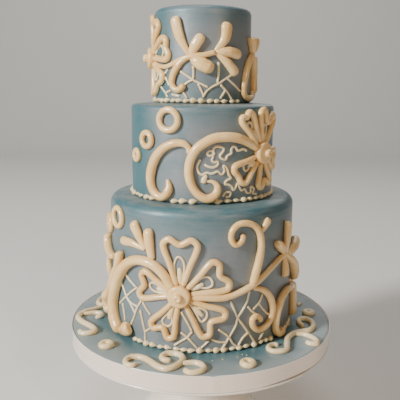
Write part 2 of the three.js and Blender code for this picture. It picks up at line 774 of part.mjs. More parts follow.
const standOutline = [
  [0, 0],
  [FOOT_RADIUS, 0],
  [FOOT_RADIUS - 2, 5],
  [FOOT_RADIUS - 9, 14],
  [STEM_RADIUS + 27, 24],
  [STEM_RADIUS + 9, 38],
  [STEM_RADIUS + 1, 52],
  [STEM_RADIUS, STAND_HEIGHT - PLATE_MIDDLE - 27],
  [STEM_RADIUS + 6, STAND_HEIGHT - PLATE_MIDDLE - 9],
  [STEM_RADIUS + 22, STAND_HEIGHT - PLATE_MIDDLE - 1],
  [PLATE_RADIUS - 1.5, STAND_HEIGHT - PLATE_RIM],
  [PLATE_RADIUS, STAND_HEIGHT],
  [0, STAND_HEIGHT],
];
addNode("stand", turned(standOutline, 26), "stand");

const coreRadius = BOARD_RADIUS - RIBBON_THICKNESS - 0.4;
addNode(
  "board",
  new THREE.CylinderGeometry(coreRadius, coreRadius, BOARD_CORE, 52)
    .rotateX(Math.PI / 2)
    .translate(0, 0, STAND_HEIGHT + SEAT + BOARD_CORE / 2),
  "core",
);

const icingBase = STAND_HEIGHT + BOARD_CORE + 2 * SEAT;
addNode(
  "board_icing",
  turned(
    [
      [0, 0],
      [coreRadius, 0],
      [coreRadius, BOARD_ICING],
      [0, BOARD_ICING],
    ],
    52,
  ).translate(0, 0, icingBase),
  "blue",
);

// Ribbon: a thin band round the board, with a lip that stands a little proud along its top
const ribbonInner = BOARD_RADIUS - RIBBON_THICKNESS;
const ribbonOutline = [
  [ribbonInner, STAND_HEIGHT + SEAT],
  [BOARD_RADIUS, STAND_HEIGHT + SEAT],
  [BOARD_RADIUS + RIBBON_LIP, BOARD_TOP + 0.2],
  [ribbonInner, BOARD_TOP + 0.2],
  [ribbonInner, STAND_HEIGHT + SEAT],
];
addNode("ribbon", turned(ribbonOutline, 52), "ribbon");

layOut(boardWork(), onBoard, [], 1e9);

addTier("bottom", bottomWork, [...BOTTOM_LATTICE, ...BOTTOM_LOOPS]);
addTier("middle", middleWork, [...MIDDLE_LOOPS, ...MIDDLE_SQUIGGLES], -14);
addTier("top", topWork, [...TOP_LATTICE, ...TOP_LOOPS]);

export default cake;
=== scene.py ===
# A three-tier wedding cake on its iced board and pedestal stand.
# Lengths in the tables are in millimetres, as a cake maker would measure them. On a tier's side a place
# is (u, v): u runs round the side from the front, to the right, and v is the height above the tier's
# base. On the board a place is (x, y). h is the height off the surface.

import math
import random

import bmesh
import bpy
from mathutils import Matrix, Vector, noise


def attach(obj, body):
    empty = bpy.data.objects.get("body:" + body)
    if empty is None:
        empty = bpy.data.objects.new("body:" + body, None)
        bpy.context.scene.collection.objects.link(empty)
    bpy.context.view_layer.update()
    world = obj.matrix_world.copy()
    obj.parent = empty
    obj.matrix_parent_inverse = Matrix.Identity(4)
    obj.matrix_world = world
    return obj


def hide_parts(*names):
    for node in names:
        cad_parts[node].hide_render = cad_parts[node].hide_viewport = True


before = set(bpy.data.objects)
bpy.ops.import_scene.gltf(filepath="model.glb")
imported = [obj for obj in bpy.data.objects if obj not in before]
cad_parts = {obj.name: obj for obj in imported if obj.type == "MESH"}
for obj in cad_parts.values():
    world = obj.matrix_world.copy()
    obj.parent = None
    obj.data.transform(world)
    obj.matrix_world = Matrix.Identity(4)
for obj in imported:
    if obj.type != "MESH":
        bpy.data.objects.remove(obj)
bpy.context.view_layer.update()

MM = 0.001

STAND_HEIGHT = 108.5
BOARD_RADIUS = 152.0
BOARD_CORE = 13.0
BOARD_ICING = 5.0
SEAT = 0.3
BOARD_TOP = STAND_HEIGHT + BOARD_CORE + BOARD_ICING + 2 * SEAT

BOTTOM = {"radius": 104.8, "height": 151.0, "shoulder": 10.0, "edge_drop": 0.6, "base": BOARD_TOP + SEAT}
MIDDLE = {"radius": 79.7, "height": 100.5, "shoulder": 4.0, "edge_drop": 1.8}
MIDDLE["base"] = BOTTOM["base"] + BOTTOM["height"] + SEAT
TOP = {"radius": 52.8, "height": 99.0, "shoulder": 6.5, "edge_drop": 0.6}
TOP["base"] = MIDDLE["base"] + MIDDLE["height"] + SEAT
BOARD = {"radius": 0.0, "height": BOARD_ICING, "base": BOARD_TOP}

PETAL_ROPE = 3.3
LINE_WIDTH = 2.6


# Nodes

SOCKETS = {float: "NodeSocketFloat", int: "NodeSocketInt"}
OUTPUT_SOCKETS = {"GeometryNodeTree": "NodeSocketGeometry", "ShaderNodeTree": "NodeSocketFloat"}
NOT_ZERO = 1e-6
TOUCHING = 0.00001


def node(tree, kind, inputs=None, **settings):
    made = tree.nodes.new(kind)
    for name, value in settings.items():
        setattr(made, name, value)
    for key, value in (inputs or {}).items():
        if isinstance(value, bpy.types.NodeSocket):
            tree.links.new(value, made.inputs[key])
        else:
            made.inputs[key].default_value = value
    return made


def output(tree, kind, inputs=None, **settings):
    """The first output of a new node."""
    return node(tree, kind, inputs, **settings).outputs[0]


def maths(tree, operation, *values, clamp=False):
    return output(tree, "ShaderNodeMath", dict(enumerate(values)), operation=operation, use_clamp=clamp)


def plus(tree, first, second):
    return maths(tree, "ADD", first, second)


def minus(tree, first, second):
    return maths(tree, "SUBTRACT", first, second)


def times(tree, first, second):
    return maths(tree, "MULTIPLY", first, second)


def vector_times(tree, vector, factors):
    return output(tree, "ShaderNodeVectorMath", {0: vector, 1: factors}, operation="MULTIPLY")


def combined(tree, x, y, z=0.0):
    return output(tree, "ShaderNodeCombineXYZ", {0: x, 1: y, 2: z})


def parts_of(tree, vector):
    return node(tree, "ShaderNodeSeparateXYZ", {0: vector}).outputs


def position(tree):
    return output(tree, "GeometryNodeInputPosition")


def object_place(tree):
    return node(tree, "ShaderNodeTexCoord").outputs["Object"]


def noise_at(tree, place, scale, detail, roughness=0.5):
    inputs = {"Vector": place, "Scale": scale, "Detail": detail, "Roughness": roughness}
    return node(tree, "ShaderNodeTexNoise", inputs).outputs["Fac"]


def seeded_noise(tree, seed, scale, detail):
    inputs = {"Vector": position(tree), "W": seed, "Scale": scale, "Detail": detail}
    return node(tree, "ShaderNodeTexNoise", inputs, noise_dimensions="4D").outputs["Fac"]


def cells_at(tree, place, scale, feature="F1"):
    made = node(tree, "ShaderNodeTexVoronoi", {"Vector": place, "Scale": scale}, feature=feature)
    return made.outputs["Distance"]


def between(tree, value, low, high, to_low=0.0, to_high=1.0):
    """Goes smoothly from to_low to to_high while the value goes from low to high."""
    inputs = {0: value, 1: low, 2: high, 3: to_low, 4: to_high}
    return output(tree, "ShaderNodeMapRange", inputs, interpolation_type="SMOOTHSTEP")


def blend_colours(tree, share, *colours):
    first, second = ((*colour, 1.0) if isinstance(colour, tuple) else colour for colour in colours)
    return node(tree, "ShaderNodeMix", {0: share, 6: first, 7: second}, data_type="RGBA").outputs[2]


def group_tree(name, kind, inputs, outputs):
    """A node group. Each input is given by its usual value, or by the kind of its socket."""
    tree = bpy.data.node_groups.new(name, kind)
    for label, value in inputs.items():
        socket = SOCKETS.get(type(value), value)
        made = tree.interface.new_socket(name=label, in_out="INPUT", socket_type=socket)
        if socket != value:
            made.default_value = value
    for label in outputs:
        tree.interface.new_socket(name=label, in_out="OUTPUT", socket_type=OUTPUT_SOCKETS[kind])
    return tree, tree.nodes.new("NodeGroupInput").outputs, tree.nodes.new("NodeGroupOutput").inputs


def surface_tree(name, **shape):
    """A tree for flat work that is laid on a tier or on the board."""
    inputs = {"Geometry": "NodeSocketGeometry", "Tier radius": 0.0, "Base": 0.0, "Lift": 0.0, "Seed": 0.0}
    inputs["Material"] = "NodeSocketMaterial"
    inputs.update({label.replace("_", " "): value for label, value in shape.items()})
    return group_tree(name, "GeometryNodeTree", inputs, ["Geometry"])


def wrap_on_cake(tree, geometry, given):
    """Moves flat work (u, v, h) onto the tier's side, or onto the board where the radius is 0."""
    radius = given["Tier radius"]
    flat = parts_of(tree, position(tree))
    lifted = plus(tree, flat[2], given["Lift"])
    angle = maths(tree, "DIVIDE", flat[0], maths(tree, "MAXIMUM", radius, NOT_ZERO))
    reach = plus(tree, radius, lifted)
    x = times(tree, reach, maths(tree, "SINE", angle))
    y = times(tree, times(tree, reach, maths(tree, "COSINE", angle)), -1.0)
    round_place = combined(tree, x, y, plus(tree, flat[1], given["Base"]))
    flat_place = combined(tree, flat[0], flat[1], plus(tree, lifted, given["Base"]))
    on_tier = maths(tree, "GREATER_THAN", radius, 0.001)
    places = {0: on_tier, 1: flat_place, 2: round_place}
    place = output(tree, "GeometryNodeSwitch", places, input_type="VECTOR")
    return output(tree, "GeometryNodeSetPosition", {0: geometry, 2: place})


def finish_icing(tree, geometry, material, result):
    merged = output(tree, "GeometryNodeMergeByDistance", {0: geometry, 2: TOUCHING})
    smooth = output(tree, "GeometryNodeSetShadeSmooth", {0: merged})
    whole = output(tree, "GeometryNodeRealizeInstances", {0: smooth})
    painted = output(tree, "GeometryNodeSetMaterial", {0: whole, 2: material})
    tree.links.new(painted, result[0])


def rope_tree():
    """Icing rolled or piped along a flat route. The route's own radius is the half width."""
    shape = {"Step": 0.0009, "Sides": 16, "Settled": 0.62, "Height_share": 1.0, "Round_ends": 1.0}
    tree, given, result = surface_tree("rope of icing", Unevenness=0.05, Dents=0.00012, **shape)
    spaced = {0: given["Geometry"], "Length": given["Step"]}
    route = output(tree, "GeometryNodeResampleCurve", spaced, mode="LENGTH")

    half = output(tree, "GeometryNodeInputRadius")
    along = node(tree, "GeometryNodeSplineParameter").outputs["Length"]
    length = node(tree, "GeometryNodeSplineLength").outputs["Length"]
    to_end = maths(tree, "MINIMUM", along, minus(tree, length, along))
    inward = maths(tree, "DIVIDE", to_end, maths(tree, "MAXIMUM", half, NOT_ZERO), clamp=True)
    outward = minus(tree, 1.0, inward)
    dome = maths(tree, "SQRT", minus(tree, 1.0, times(tree, outward, outward)))
    open_route = minus(tree, 1.0, output(tree, "GeometryNodeInputSplineCyclic"))
    rounding = times(tree, given["Round ends"], open_route)
    ends = output(tree, "ShaderNodeMix", {0: rounding, 2: 1.0, 3: dome})

    slow = seeded_noise(tree, given["Seed"], 95.0, 1.0)
    swing = times(tree, minus(tree, slow, 0.5), 2.0)
    swell = plus(tree, 1.0, times(tree, swing, given["Unevenness"]))
    sized = times(tree, times(tree, half, ends), swell)
    shaped = output(tree, "GeometryNodeSetCurveRadius", {0: route, "Radius": sized})
    upright = output(tree, "GeometryNodeSetCurveNormal", {0: shaped}, mode="Z_UP")

    circle = {"Resolution": given["Sides"], "Radius": 1.0}
    ring = output(tree, "GeometryNodeCurvePrimitiveCircle", circle, mode="RADIUS")
    across = parts_of(tree, position(tree))
    sunk = times(tree, given["Settled"], -1.0)
    above = plus(tree, maths(tree, "MAXIMUM", across[1], sunk), given["Settled"])
    # The section hangs below its curve's normal, so it is turned half round to stand up.
    height = times(tree, times(tree, above, given["Height share"]), -1.0)
    section_place = combined(tree, times(tree, across[0], -1.0), height)
    section = output(tree, "GeometryNodeSetPosition", {0: ring, 2: section_place})
    now_half = output(tree, "GeometryNodeInputRadius")
    swept = {0: upright, 1: section, "Scale": now_half, "Fill Caps": True}
    wrapped = wrap_on_cake(tree, output(tree, "GeometryNodeCurveToMesh", swept), given)

    fine = seeded_noise(tree, given["Seed"], 210.0, 2.0)
    push = times(tree, minus(tree, fine, 0.5), given["Dents"])
    normal = output(tree, "GeometryNodeInputNormal")
    shift = output(tree, "ShaderNodeVectorMath", {0: normal, "Scale": push}, operation="SCALE")
    dented = output(tree, "GeometryNodeSetPosition", {0: wrapped, 3: shift})
    finish_icing(tree, dented, given["Material"], result)
    return tree


def bead_tree():
    """Piped beads, one on each point of a flat mesh, their tails to the right."""
    shape = {"Bead_length": 0.0105, "Bead_width": 0.0062, "Bead_height": 0.0046, "Variation": 0.26}
    tree, given, result = surface_tree("piped beads", **shape)
    ball = output(tree, "GeometryNodeMeshIcoSphere", {"Radius": 1.0, "Subdivisions": 2})
    at = parts_of(tree, position(tree))
    tail = between(tree, at[0], -0.3, 1.0, 1.0, 0.28)
    wide = times(tree, at[1], tail)
    high = times(tree, maths(tree, "MAXIMUM", at[2], -0.35), tail)
    drop = output(tree, "GeometryNodeSetPosition", {0: ball, 2: combined(tree, at[0], wide, high)})

    points = output(tree, "GeometryNodeMeshToPoints", {0: given["Geometry"]})
    whole_seed = output(tree, "FunctionNodeFloatToInt", {0: given["Seed"]})
    smallest = minus(tree, 1.0, given["Variation"])
    largest = plus(tree, 1.0, given["Variation"])
    sizes = {2: smallest, 3: largest, "Seed": whole_seed}
    size = node(tree, "FunctionNodeRandomValue", sizes, data_type="FLOAT").outputs[1]
    lengths = times(tree, given["Bead length"], 0.5)
    widths = times(tree, times(tree, given["Bead width"], 0.5), size)
    heights = times(tree, times(tree, given["Bead height"], 0.74), size)
    scale = combined(tree, lengths, widths, heights)
    turns = {0: (0.0, -0.08, -0.16), 1: (0.0, 0.08, 0.22), "Seed": whole_seed}
    turn = output(tree, "FunctionNodeRandomValue", turns, data_type="FLOAT_VECTOR")
    rotation = output(tree, "FunctionNodeEulerToRotation", {0: turn})
    placing = {0: points, "Instance": drop, "Rotation": rotation, "Scale": scale}
    placed = output(tree, "GeometryNodeInstanceOnPoints", placing)
    real = output(tree, "GeometryNodeRealizeInstances", {0: placed})
    finish_icing(tree, wrap_on_cake(tree, real, given), given["Material"], result)
    return tree


# Shader groups that several finishes share

def icing_grain_group():
    """Height and tone of icing: soft dents from the fingers, a fine sugar grain and a few specks."""
    inputs = {"Dent size": 90.0, "Dent depth": 0.6, "Grain size": 1400.0, "Grain depth": 0.25}
    tree, given, result = group_tree("icing grain", "ShaderNodeTree", inputs, ["Height", "Tone", "Specks"])
    place = object_place(tree)
    dent = times(tree, noise_at(tree, place, given["Dent size"], 2.0), given["Dent depth"])
    tooth = times(tree, noise_at(tree, place, given["Grain size"], 3.0), given["Grain depth"])
    tree.links.new(plus(tree, dent, tooth), result[0])
    broad = noise_at(tree, place, 26.0, 3.0, 0.6)
    tree.links.new(between(tree, broad, 0.3, 0.7), result[1])
    crumbs = cells_at(tree, place, 210.0)
    tree.links.new(between(tree, crumbs, 0.06, 0.13, 1.0, 0.0), result[2])
    return tree


def airbrush_group():
    """Where the teal goes: spray over the shoulder, low down and in soft clouds, and more teal toward the
    left (−x) side.
    """
    inputs = {"Foot": 0.0, "Shoulder": 0.1, "Radius": 0.1}
    inputs.update({"Top share": 0.8, "Foot share": 0.3, "Side share": 0.5, "Cloud share": 0.5})
    tree, given, result = group_tree("airbrush", "ShaderNodeTree", inputs, ["Spray", "Shimmer"])
    place = object_place(tree)
    at = parts_of(tree, place)
    rise = minus(tree, given["Shoulder"], given["Foot"])
    level = maths(tree, "DIVIDE", minus(tree, at[2], given["Foot"]), rise)
    top = times(tree, between(tree, level, 0.66, 1.02), given["Top share"])
    foot = times(tree, between(tree, level, 0.22, 0.0), given["Foot share"])
    # More teal toward the tier's left (−x) side.
    leftward = maths(tree, "DIVIDE", times(tree, at[0], -1.0), given["Radius"])
    side = times(tree, between(tree, leftward, 0.4, 0.85), given["Side share"])
    clouds = noise_at(tree, place, 17.0, 3.0, 0.6)
    cloud = times(tree, between(tree, clouds, 0.42, 0.66), given["Cloud share"])
    layered = maths(tree, "MAXIMUM", maths(tree, "MAXIMUM", top, side), maths(tree, "MAXIMUM", foot, cloud))
    strokes = noise_at(tree, vector_times(tree, place, (26.0, 26.0, 240.0)), 1.0, 4.0, 0.65)
    near_edge = between(tree, level, 0.84, 1.0, 0.06, 0.5)
    stroke = times(tree, between(tree, strokes, 0.35, 0.65, -0.6, 0.6), near_edge)
    mist = between(tree, noise_at(tree, place, 900.0, 2.0), 0.25, 0.75, -0.05, 0.05)
    spray = plus(tree, plus(tree, layered, stroke), mist)
    tree.links.new(maths(tree, "ADD", spray, 0.0, clamp=True), result[0])
    tree.links.new(noise_at(tree, place, 2600.0, 1.0), result[1])
    return tree


ICING_GRAIN = icing_grain_group()
AIRBRUSH = airbrush_group()


# Finishes

def finish(name, **settings):
    made = bpy.data.materials.new(name)
    made.use_nodes = True
    tree = made.node_tree
    shader = tree.nodes["Principled BSDF"]
    for label, value in settings.items():
        shader.inputs[label.replace("_", " ")].default_value = value
    return made, tree, shader


def feed(shader, label, value):
    shader.id_data.links.new(value, shader.inputs[label])


def bump(tree, shader, height, distance, strength=1.0):
    inputs = {"Height": height, "Distance": distance, "Strength": strength}
    feed(shader, "Normal", output(tree, "ShaderNodeBump", inputs))


def use_group(tree, group, **values):
    made = tree.nodes.new("ShaderNodeGroup")
    made.node_tree = group
    for label, value in values.items():
        made.inputs[label.replace("_", " ")].default_value = value
    return made.outputs


def ivory_icing(name, pale, deep, roughness):
    """Rolled or piped ivory icing, a little waxy, deeper in tone in broad random patches."""
    waxy = {"Subsurface_Weight": 0.1, "Subsurface_Scale": 0.003, "Subsurface_Radius": (1.0, 0.75, 0.55)}
    made, tree, shader = finish(name, Coat_Weight=0.8, Coat_Roughness=0.18, **waxy)
    grain = use_group(tree, ICING_GRAIN, Dent_size=150.0, Dent_depth=0.9, Grain_size=1500.0, Grain_depth=0.2)
    tone = blend_colours(tree, grain["Tone"], pale, deep)
    speck_share = times(tree, grain["Specks"], 0.25)
    speckled = blend_colours(tree, speck_share, tone, tuple(c * 0.8 for c in deep))
    feed(shader, "Base Color", speckled)
    rough = between(tree, grain["Tone"], 0.0, 1.0, roughness - 0.06, roughness + 0.08)
    feed(shader, "Roughness", rough)
    bump(tree, shader, grain["Height"], 0.0005, 0.7)
    return made


def pearl_icing(name, pearl, teal, foot, shoulder, radius, shares):
    """Blue rolled icing, sprayed with teal and dusted with pearl."""
    sheen = {"Sheen_Weight": 0.15, "Sheen_Roughness": 0.4}
    made, tree, shader = finish(name, Coat_Weight=0.1, Coat_Roughness=0.35, **sheen)
    spray = use_group(tree, AIRBRUSH, Foot=foot, Shoulder=shoulder, Radius=radius, **shares)
    grain = use_group(tree, ICING_GRAIN, Dent_size=42.0, Dent_depth=1.0, Grain_size=1100.0, Grain_depth=0.1)
    painted = blend_colours(tree, spray["Spray"], pearl, teal)
    patchy = blend_colours(tree, times(tree, grain["Tone"], 0.22), painted, tuple(c * 0.78 for c in pearl))
    feed(shader, "Base Color", patchy)
    dusted = between(tree, spray["Shimmer"], 0.3, 0.7, 0.34, 0.5)
    feed(shader, "Roughness", plus(tree, dusted, times(tree, spray["Spray"], 0.08)))
    feed(shader, "Metallic", between(tree, spray["Spray"], 0.0, 1.0, 0.22, 0.1))
    bump(tree, shader, grain["Height"], 0.0011, 0.6)
    return made


def satin_ribbon():
    """Satin ribbon: fine threads that run round the board, with a plain woven edge above and below."""
    sheen = {"Sheen_Weight": 0.3, "Sheen_Roughness": 0.3}
    made, tree, shader = finish("satin ribbon", Metallic=0.2, Coat_Weight=0.5, Coat_Roughness=0.3, **sheen)
    at = parts_of(tree, object_place(tree))
    angle = maths(tree, "ARCTAN2", at[0], at[1])
    laid = combined(tree, times(tree, angle, BOARD_RADIUS * MM), at[2])
    threads = output(tree, "ShaderNodeMapping", {0: laid, "Scale": (90.0, 2600.0, 1.0)})
    weave = noise_at(tree, threads, 1.0, 2.0)
    creases = output(tree, "ShaderNodeMapping", {0: laid, "Scale": (70.0, 260.0, 1.0)})
    slack = noise_at(tree, creases, 1.0, 1.0)
    low = STAND_HEIGHT * MM
    high = BOARD_TOP * MM
    top_edge = between(tree, at[2], high - 0.0016, high - 0.0009)
    foot_edge = between(tree, at[2], low + 0.0018, low + 0.0011)
    edge = maths(tree, "MAXIMUM", top_edge, foot_edge)
    tone = blend_colours(tree, weave, (0.97, 0.84, 0.74), (0.88, 0.73, 0.62))
    edged = blend_colours(tree, times(tree, edge, 0.5), tone, (0.93, 0.9, 0.86))
    feed(shader, "Base Color", edged)
    feed(shader, "Roughness", between(tree, weave, 0.2, 0.8, 0.26, 0.38))
    height = plus(tree, times(tree, weave, 0.55), slack)
    bump(tree, shader, plus(tree, height, times(tree, edge, 0.2)), 0.0006, 0.5)
    return made


def glazed_stand():
    """White glaze, a little warmer in random pools, with the odd pinhole."""
    made, tree, shader = finish("white glaze", Coat_Weight=0.7, Coat_Roughness=0.08)
    place = object_place(tree)
    pool = noise_at(tree, place, 22.0, 3.0)
    pin = between(tree, cells_at(tree, place, 95.0), 0.03, 0.06, 1.0, 0.0)
    tone = blend_colours(tree, pool, (0.86, 0.79, 0.71), (0.78, 0.69, 0.6))
    pinned = blend_colours(tree, times(tree, pin, 0.4), tone, (0.5, 0.42, 0.35))
    feed(shader, "Base Color", pinned)
    feed(shader, "Roughness", between(tree, pool, 0.3, 0.7, 0.18, 0.3))
    bump(tree, shader, minus(tree, pool, times(tree, pin, 0.5)), 0.0008, 0.4)
    return made


ROLLED_IVORY = ivory_icing("rolled ivory icing", (0.93, 0.66, 0.31), (0.8, 0.5, 0.18), 0.3)
PIPED_IVORY = ivory_icing("piped ivory icing", (0.9, 0.76, 0.49), (0.8, 0.62, 0.33), 0.38)
RIBBON = satin_ribbon()
GLAZE = glazed_stand()
PEARL = (0.215, 0.245, 0.27)
TEAL = (0.022, 0.12, 0.15)


def tier_icing(name, tier, *shares):
    """The icing of a tier, with the shares of teal at its top, foot and left (−x) side and in clouds."""
    foot = tier["base"] * MM
    labels = ("Top_share", "Foot_share", "Side_share", "Cloud_share")
    sprayed = dict(zip(labels, shares))
    return pearl_icing(name, PEARL, TEAL, foot, foot + tier["height"] * MM, tier["radius"] * MM, sprayed)


# Flat shapes

def smooth_route(points, closed=False, spacing=0.7):
    """A centripetal curve through the points, as places about spacing apart."""
    flat = [Vector((*p, 0.0)) for p in points]
    if closed:
        flat = [flat[-1], *flat, flat[0], flat[1]]
    else:
        flat = [2 * flat[0] - flat[1], *flat, 2 * flat[-1] - flat[-2]]
    route = []
    for a, b, c, d in zip(flat, flat[1:], flat[2:], flat[3:]):
        ab = math.sqrt((b - a).length)
        bc = math.sqrt((c - b).length)
        cd = math.sqrt((d - c).length)
        leave = ((b - a) / ab - (c - a) / (ab + bc) + (c - b) / bc) * bc
        arrive = ((c - b) / bc - (d - b) / (bc + cd) + (d - c) / cd) * bc
        count = max(2, math.ceil((c - b).length / spacing))
        for i in range(count):
            t = i / count
            route.append(
                b * (2 * t**3 - 3 * t**2 + 1)
                + leave * (t**3 - 2 * t**2 + t)
                + c * (3 * t**2 - 2 * t**3)
                + arrive * (t**3 - t**2)
            )
    if not closed:
        route.append(flat[-2])
    return route


def value_at(values, share):
    place = min(max(share, 0.0), 1.0) * (len(values) - 1)
    low = min(int(place), len(values) - 2)
    return values[low] + (values[low + 1] - values[low]) * (place - low)


def turned_about(centre, angle, along, across):
    turn = math.radians(angle)
    return (
        centre[0] + along * math.cos(turn) - across * math.sin(turn),
        centre[1] + along * math.sin(turn) + across * math.cos(turn),
    )


def mirrored(side):
    return side + [(along, -across) for along, across in reversed(side[:-1])]


def rope(route, half, closed=False):
    return {"route": route, "half": half, "closed": closed}


def ring(centre, radius, half):
    count = 14
    steps = [2 * math.pi * i / count for i in range(count)]
    route = [(centre[0] + radius * math.cos(s), centre[1] + radius * math.sin(s)) for s in steps]
    return rope(route, [half, half], closed=True)


LEAF_SHARES = (0.34, 0.62, 0.88, 1.0, 0.96)
OVAL_LEAF_SHARES = (0.36, 0.82, 1.0, 1.0, 0.86)
STRAP_LEAF_SHARES = (0.62, 0.8, 0.94, 1.0, 0.98)


def leaf(stalk, end, width, sway=0.0, shares=LEAF_SHARES):
    """A rope that swells from a thin stalk to a blunt end."""
    middle = (
        (stalk[0] + end[0]) / 2 + (stalk[1] - end[1]) * sway,
        (stalk[1] + end[1]) / 2 + (end[0] - stalk[0]) * sway,
    )
    return rope([stalk, middle, end], [width * share for share in shares])


def petal(centre, angle, length, width, notch=0.06):
    """A heart-shaped petal bent from one rope."""
    side = [
        (10.0, 3.0),
        (0.57 * length, 0.31 * width),
        (0.8 * length, 0.47 * width),
        (0.92 * length, 0.5 * width),
        (length, 0.33 * width),
        ((1 - notch) * length, 0.0),
    ]
    route = [turned_about(centre, angle, along, across) for along, across in mirrored(side)]
    return rope(route, [PETAL_ROPE * share for share in (0.8, 0.95, 1.05, 1.0, 1.05, 0.95, 0.8)])


def wedge(*points):
    """A squeeze of icing that fills the narrow end of a petal."""
    return rope(list(points), [1.2, 2.4, 2.8, 1.9])


def inner_loop(centre, angle, reach, width, lean=0.0):
    """The piped loop inside a petal, a teardrop with a blob where the icing was let go."""
    side = [(14.5, 0.1), (0.72 * reach, 0.4), (0.9 * reach, 0.48), (reach, 0.0)]
    route = [turned_about(centre, angle + lean, along, across * width) for along, across in mirrored(side)]
    half = LINE_WIDTH / 2
    return rope(route, [half * 1.5, half, half, half, half, half, half * 1.5])


def line(*points):
    """A thin piped line, drawn on a little past its two end points."""
    half = LINE_WIDTH / 2
    first, last = (Vector(points[0]), Vector(points[-1]))
    before = first + (first - Vector(points[1])).normalized()
    after = last + (last - Vector(points[-2])).normalized()
    points = [tuple(before), *points[1:-1], tuple(after)]
    return rope(points, [half * 1.1, half * 0.9, half, half * 0.85, half * 1.05])


def moved_round(pieces, by):
    return [{**piece, "route": [(u + by, v) for u, v in piece["route"]]} for piece in pieces]


# Building

ROPE = rope_tree()
BEADS = bead_tree()
made_so_far = []


def in_scene(name, data):
    made = bpy.data.objects.new(name, data)
    bpy.context.scene.collection.objects.link(made)
    return made


def mesh_of(bm, name):
    made = bpy.data.meshes.new(name)
    bm.to_mesh(made)
    bm.free()
    return made


def flat_points(places):
    bm = bmesh.new()
    for place in places:
        bm.verts.new(Vector((*place, 0.0)) * MM)
    return mesh_of(bm, "flat points")


def grown(tree, flat, tier, material, **settings):
    """Runs a tree on a flat curve or mesh, and gives the result as a plain mesh."""
    source = in_scene("flat work", flat)
    modifier = source.modifiers.new("shape", "NODES")
    modifier.node_group = tree
    values = {label.replace("_", " "): value for label, value in settings.items()}
    values["Tier radius"] = tier["radius"] * MM
    values["Base"] = tier["base"] * MM
    values["Seed"] = float(len(made_so_far) + 1)
    values["Material"] = material
    for item in tree.interface.items_tree:
        if item.in_out == "INPUT" and item.name in values:
            modifier[item.identifier] = values[item.name]
    made = source.evaluated_get(bpy.context.evaluated_depsgraph_get())
    mesh = bpy.data.meshes.new_from_object(made)
    bpy.data.objects.remove(source)
    return mesh


def rolled(tier, ropes, material=ROLLED_IVORY, **settings):
    """Ropes of icing on a tier or on the board."""
    flat = bpy.data.curves.new("ropes", "CURVE")
    flat.dimensions = "3D"
    for piece in ropes:
        route = smooth_route(piece["route"], piece["closed"])
        spline = flat.splines.new("POLY")
        spline.points.add(len(route) - 1)
        travelled = 0.0
        shares = [0.0]
        for a, b in zip(route, route[1:]):
            travelled += (b - a).length
            shares.append(travelled)
        for point, place, share in zip(spline.points, route, shares):
            point.co = (place.x * MM, place.y * MM, 0.0, 1.0)
            point.radius = value_at(piece["half"], share / travelled) * MM
        spline.use_cyclic_u = piece["closed"]
    return grown(ROPE, flat, tier, material, **{"Lift": -0.0003, **settings})


def piped(tier, ropes, **settings):
    """Thin lines of piped icing."""
    fine = {"Sides": 10, "Step": 0.0008, "Unevenness": 0.16, "Dents": 0.0001, "Height_share": 0.85}
    return rolled(tier, ropes, PIPED_IVORY, **{**fine, **settings})


def paddles(tier, ropes, **settings):
    """Leaves, pressed flatter than the ropes."""
    return rolled(tier, ropes, **{"Height_share": 0.78, "Sides": 20, **settings})


def on_cake(tier, u, v, h):
    if tier["radius"] == 0.0:
        return Vector((u, v, tier["base"] + h)) * MM
    angle = u / tier["radius"]
    reach = tier["radius"] + h
    return Vector((reach * math.sin(angle), -reach * math.cos(angle), tier["base"] + v)) * MM


def turned(profile, segments, place, material):
    """A closed turned shape. The profile starts and ends on the axis, and place puts it where it goes."""
    bm = bmesh.new()
    rings = []
    for r, z in profile:
        if r < 0.001:
            rings.append([bm.verts.new(place(0.0, 0.0, z))])
        else:
            rings.append([bm.verts.new(place(r, 2 * math.pi * i / segments, z)) for i in range(segments)])
    for lower, upper in zip(rings, rings[1:]):
        for i in range(segments):
            corners = [lower[i % len(lower)], lower[(i + 1) % segments % len(lower)]]
            corners += [upper[(i + 1) % segments % len(upper)], upper[i % len(upper)]]
            bm.faces.new(list(dict.fromkeys(corners)))
    bmesh.ops.recalc_face_normals(bm, faces=bm.faces)
    mesh = mesh_of(bm, "turned")
    mesh.shade_smooth()
    mesh.materials.append(material)
    return mesh


BUTTON = [
    (0.0, 12.3), (0.8, 12.4), (1.6, 13.0), (2.6, 13.2), (3.8, 12.4), (4.5, 10.8), (4.5, 9.3), (5.1, 8.7),
    (6.8, 8.5), (9.0, 8.3), (10.5, 7.7), (11.4, 6.4), (11.6, 4.4), (11.2, 1.5), (10.9, -0.6),
]


def button(tier, centre):
    """The flower's middle: a ball pressed into a shallow cup."""
    profile = [(max(p.x, 0.0), p.y) for p in smooth_route(BUTTON)] + [(0.0, -0.6)]

    def place(r, angle, h):
        uneven = 1 + 0.03 * noise.noise(Vector((math.cos(angle), math.sin(angle), centre[0])))
        u = centre[0] + r * uneven * math.cos(angle)
        v = centre[1] + r * uneven * math.sin(angle)
        return on_cake(tier, u, v, h)

    return turned(profile, 48, place, ROLLED_IVORY)


def dressed(name, meshes, slot, *nodes):
    """Joins the meshes into one piece that stands for the CAD nodes."""
    bm = bmesh.new()
    for mesh in meshes:
        bm.from_mesh(mesh)
    for face in bm.faces:
        face.material_index = 0
    joined = mesh_of(bm, name)
    joined.materials.append(meshes[0].materials[-1])
    piece = in_scene(name, joined)
    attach(piece, "root")
    if nodes:
        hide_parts(*nodes)
    made_so_far.append(name)
    for mesh in meshes:
        bpy.data.meshes.remove(mesh)
    return piece


def icing(name, meshes, *nodes):
    return dressed(name, meshes, "ivory_icing", *nodes)


# The cake itself

def arc(centre, radius, start, end, steps):
    turns = [math.radians(start + (end - start) * i / steps) for i in range(steps + 1)]
    return [(centre[0] + radius * math.cos(t), centre[1] + radius * math.sin(t)) for t in turns]


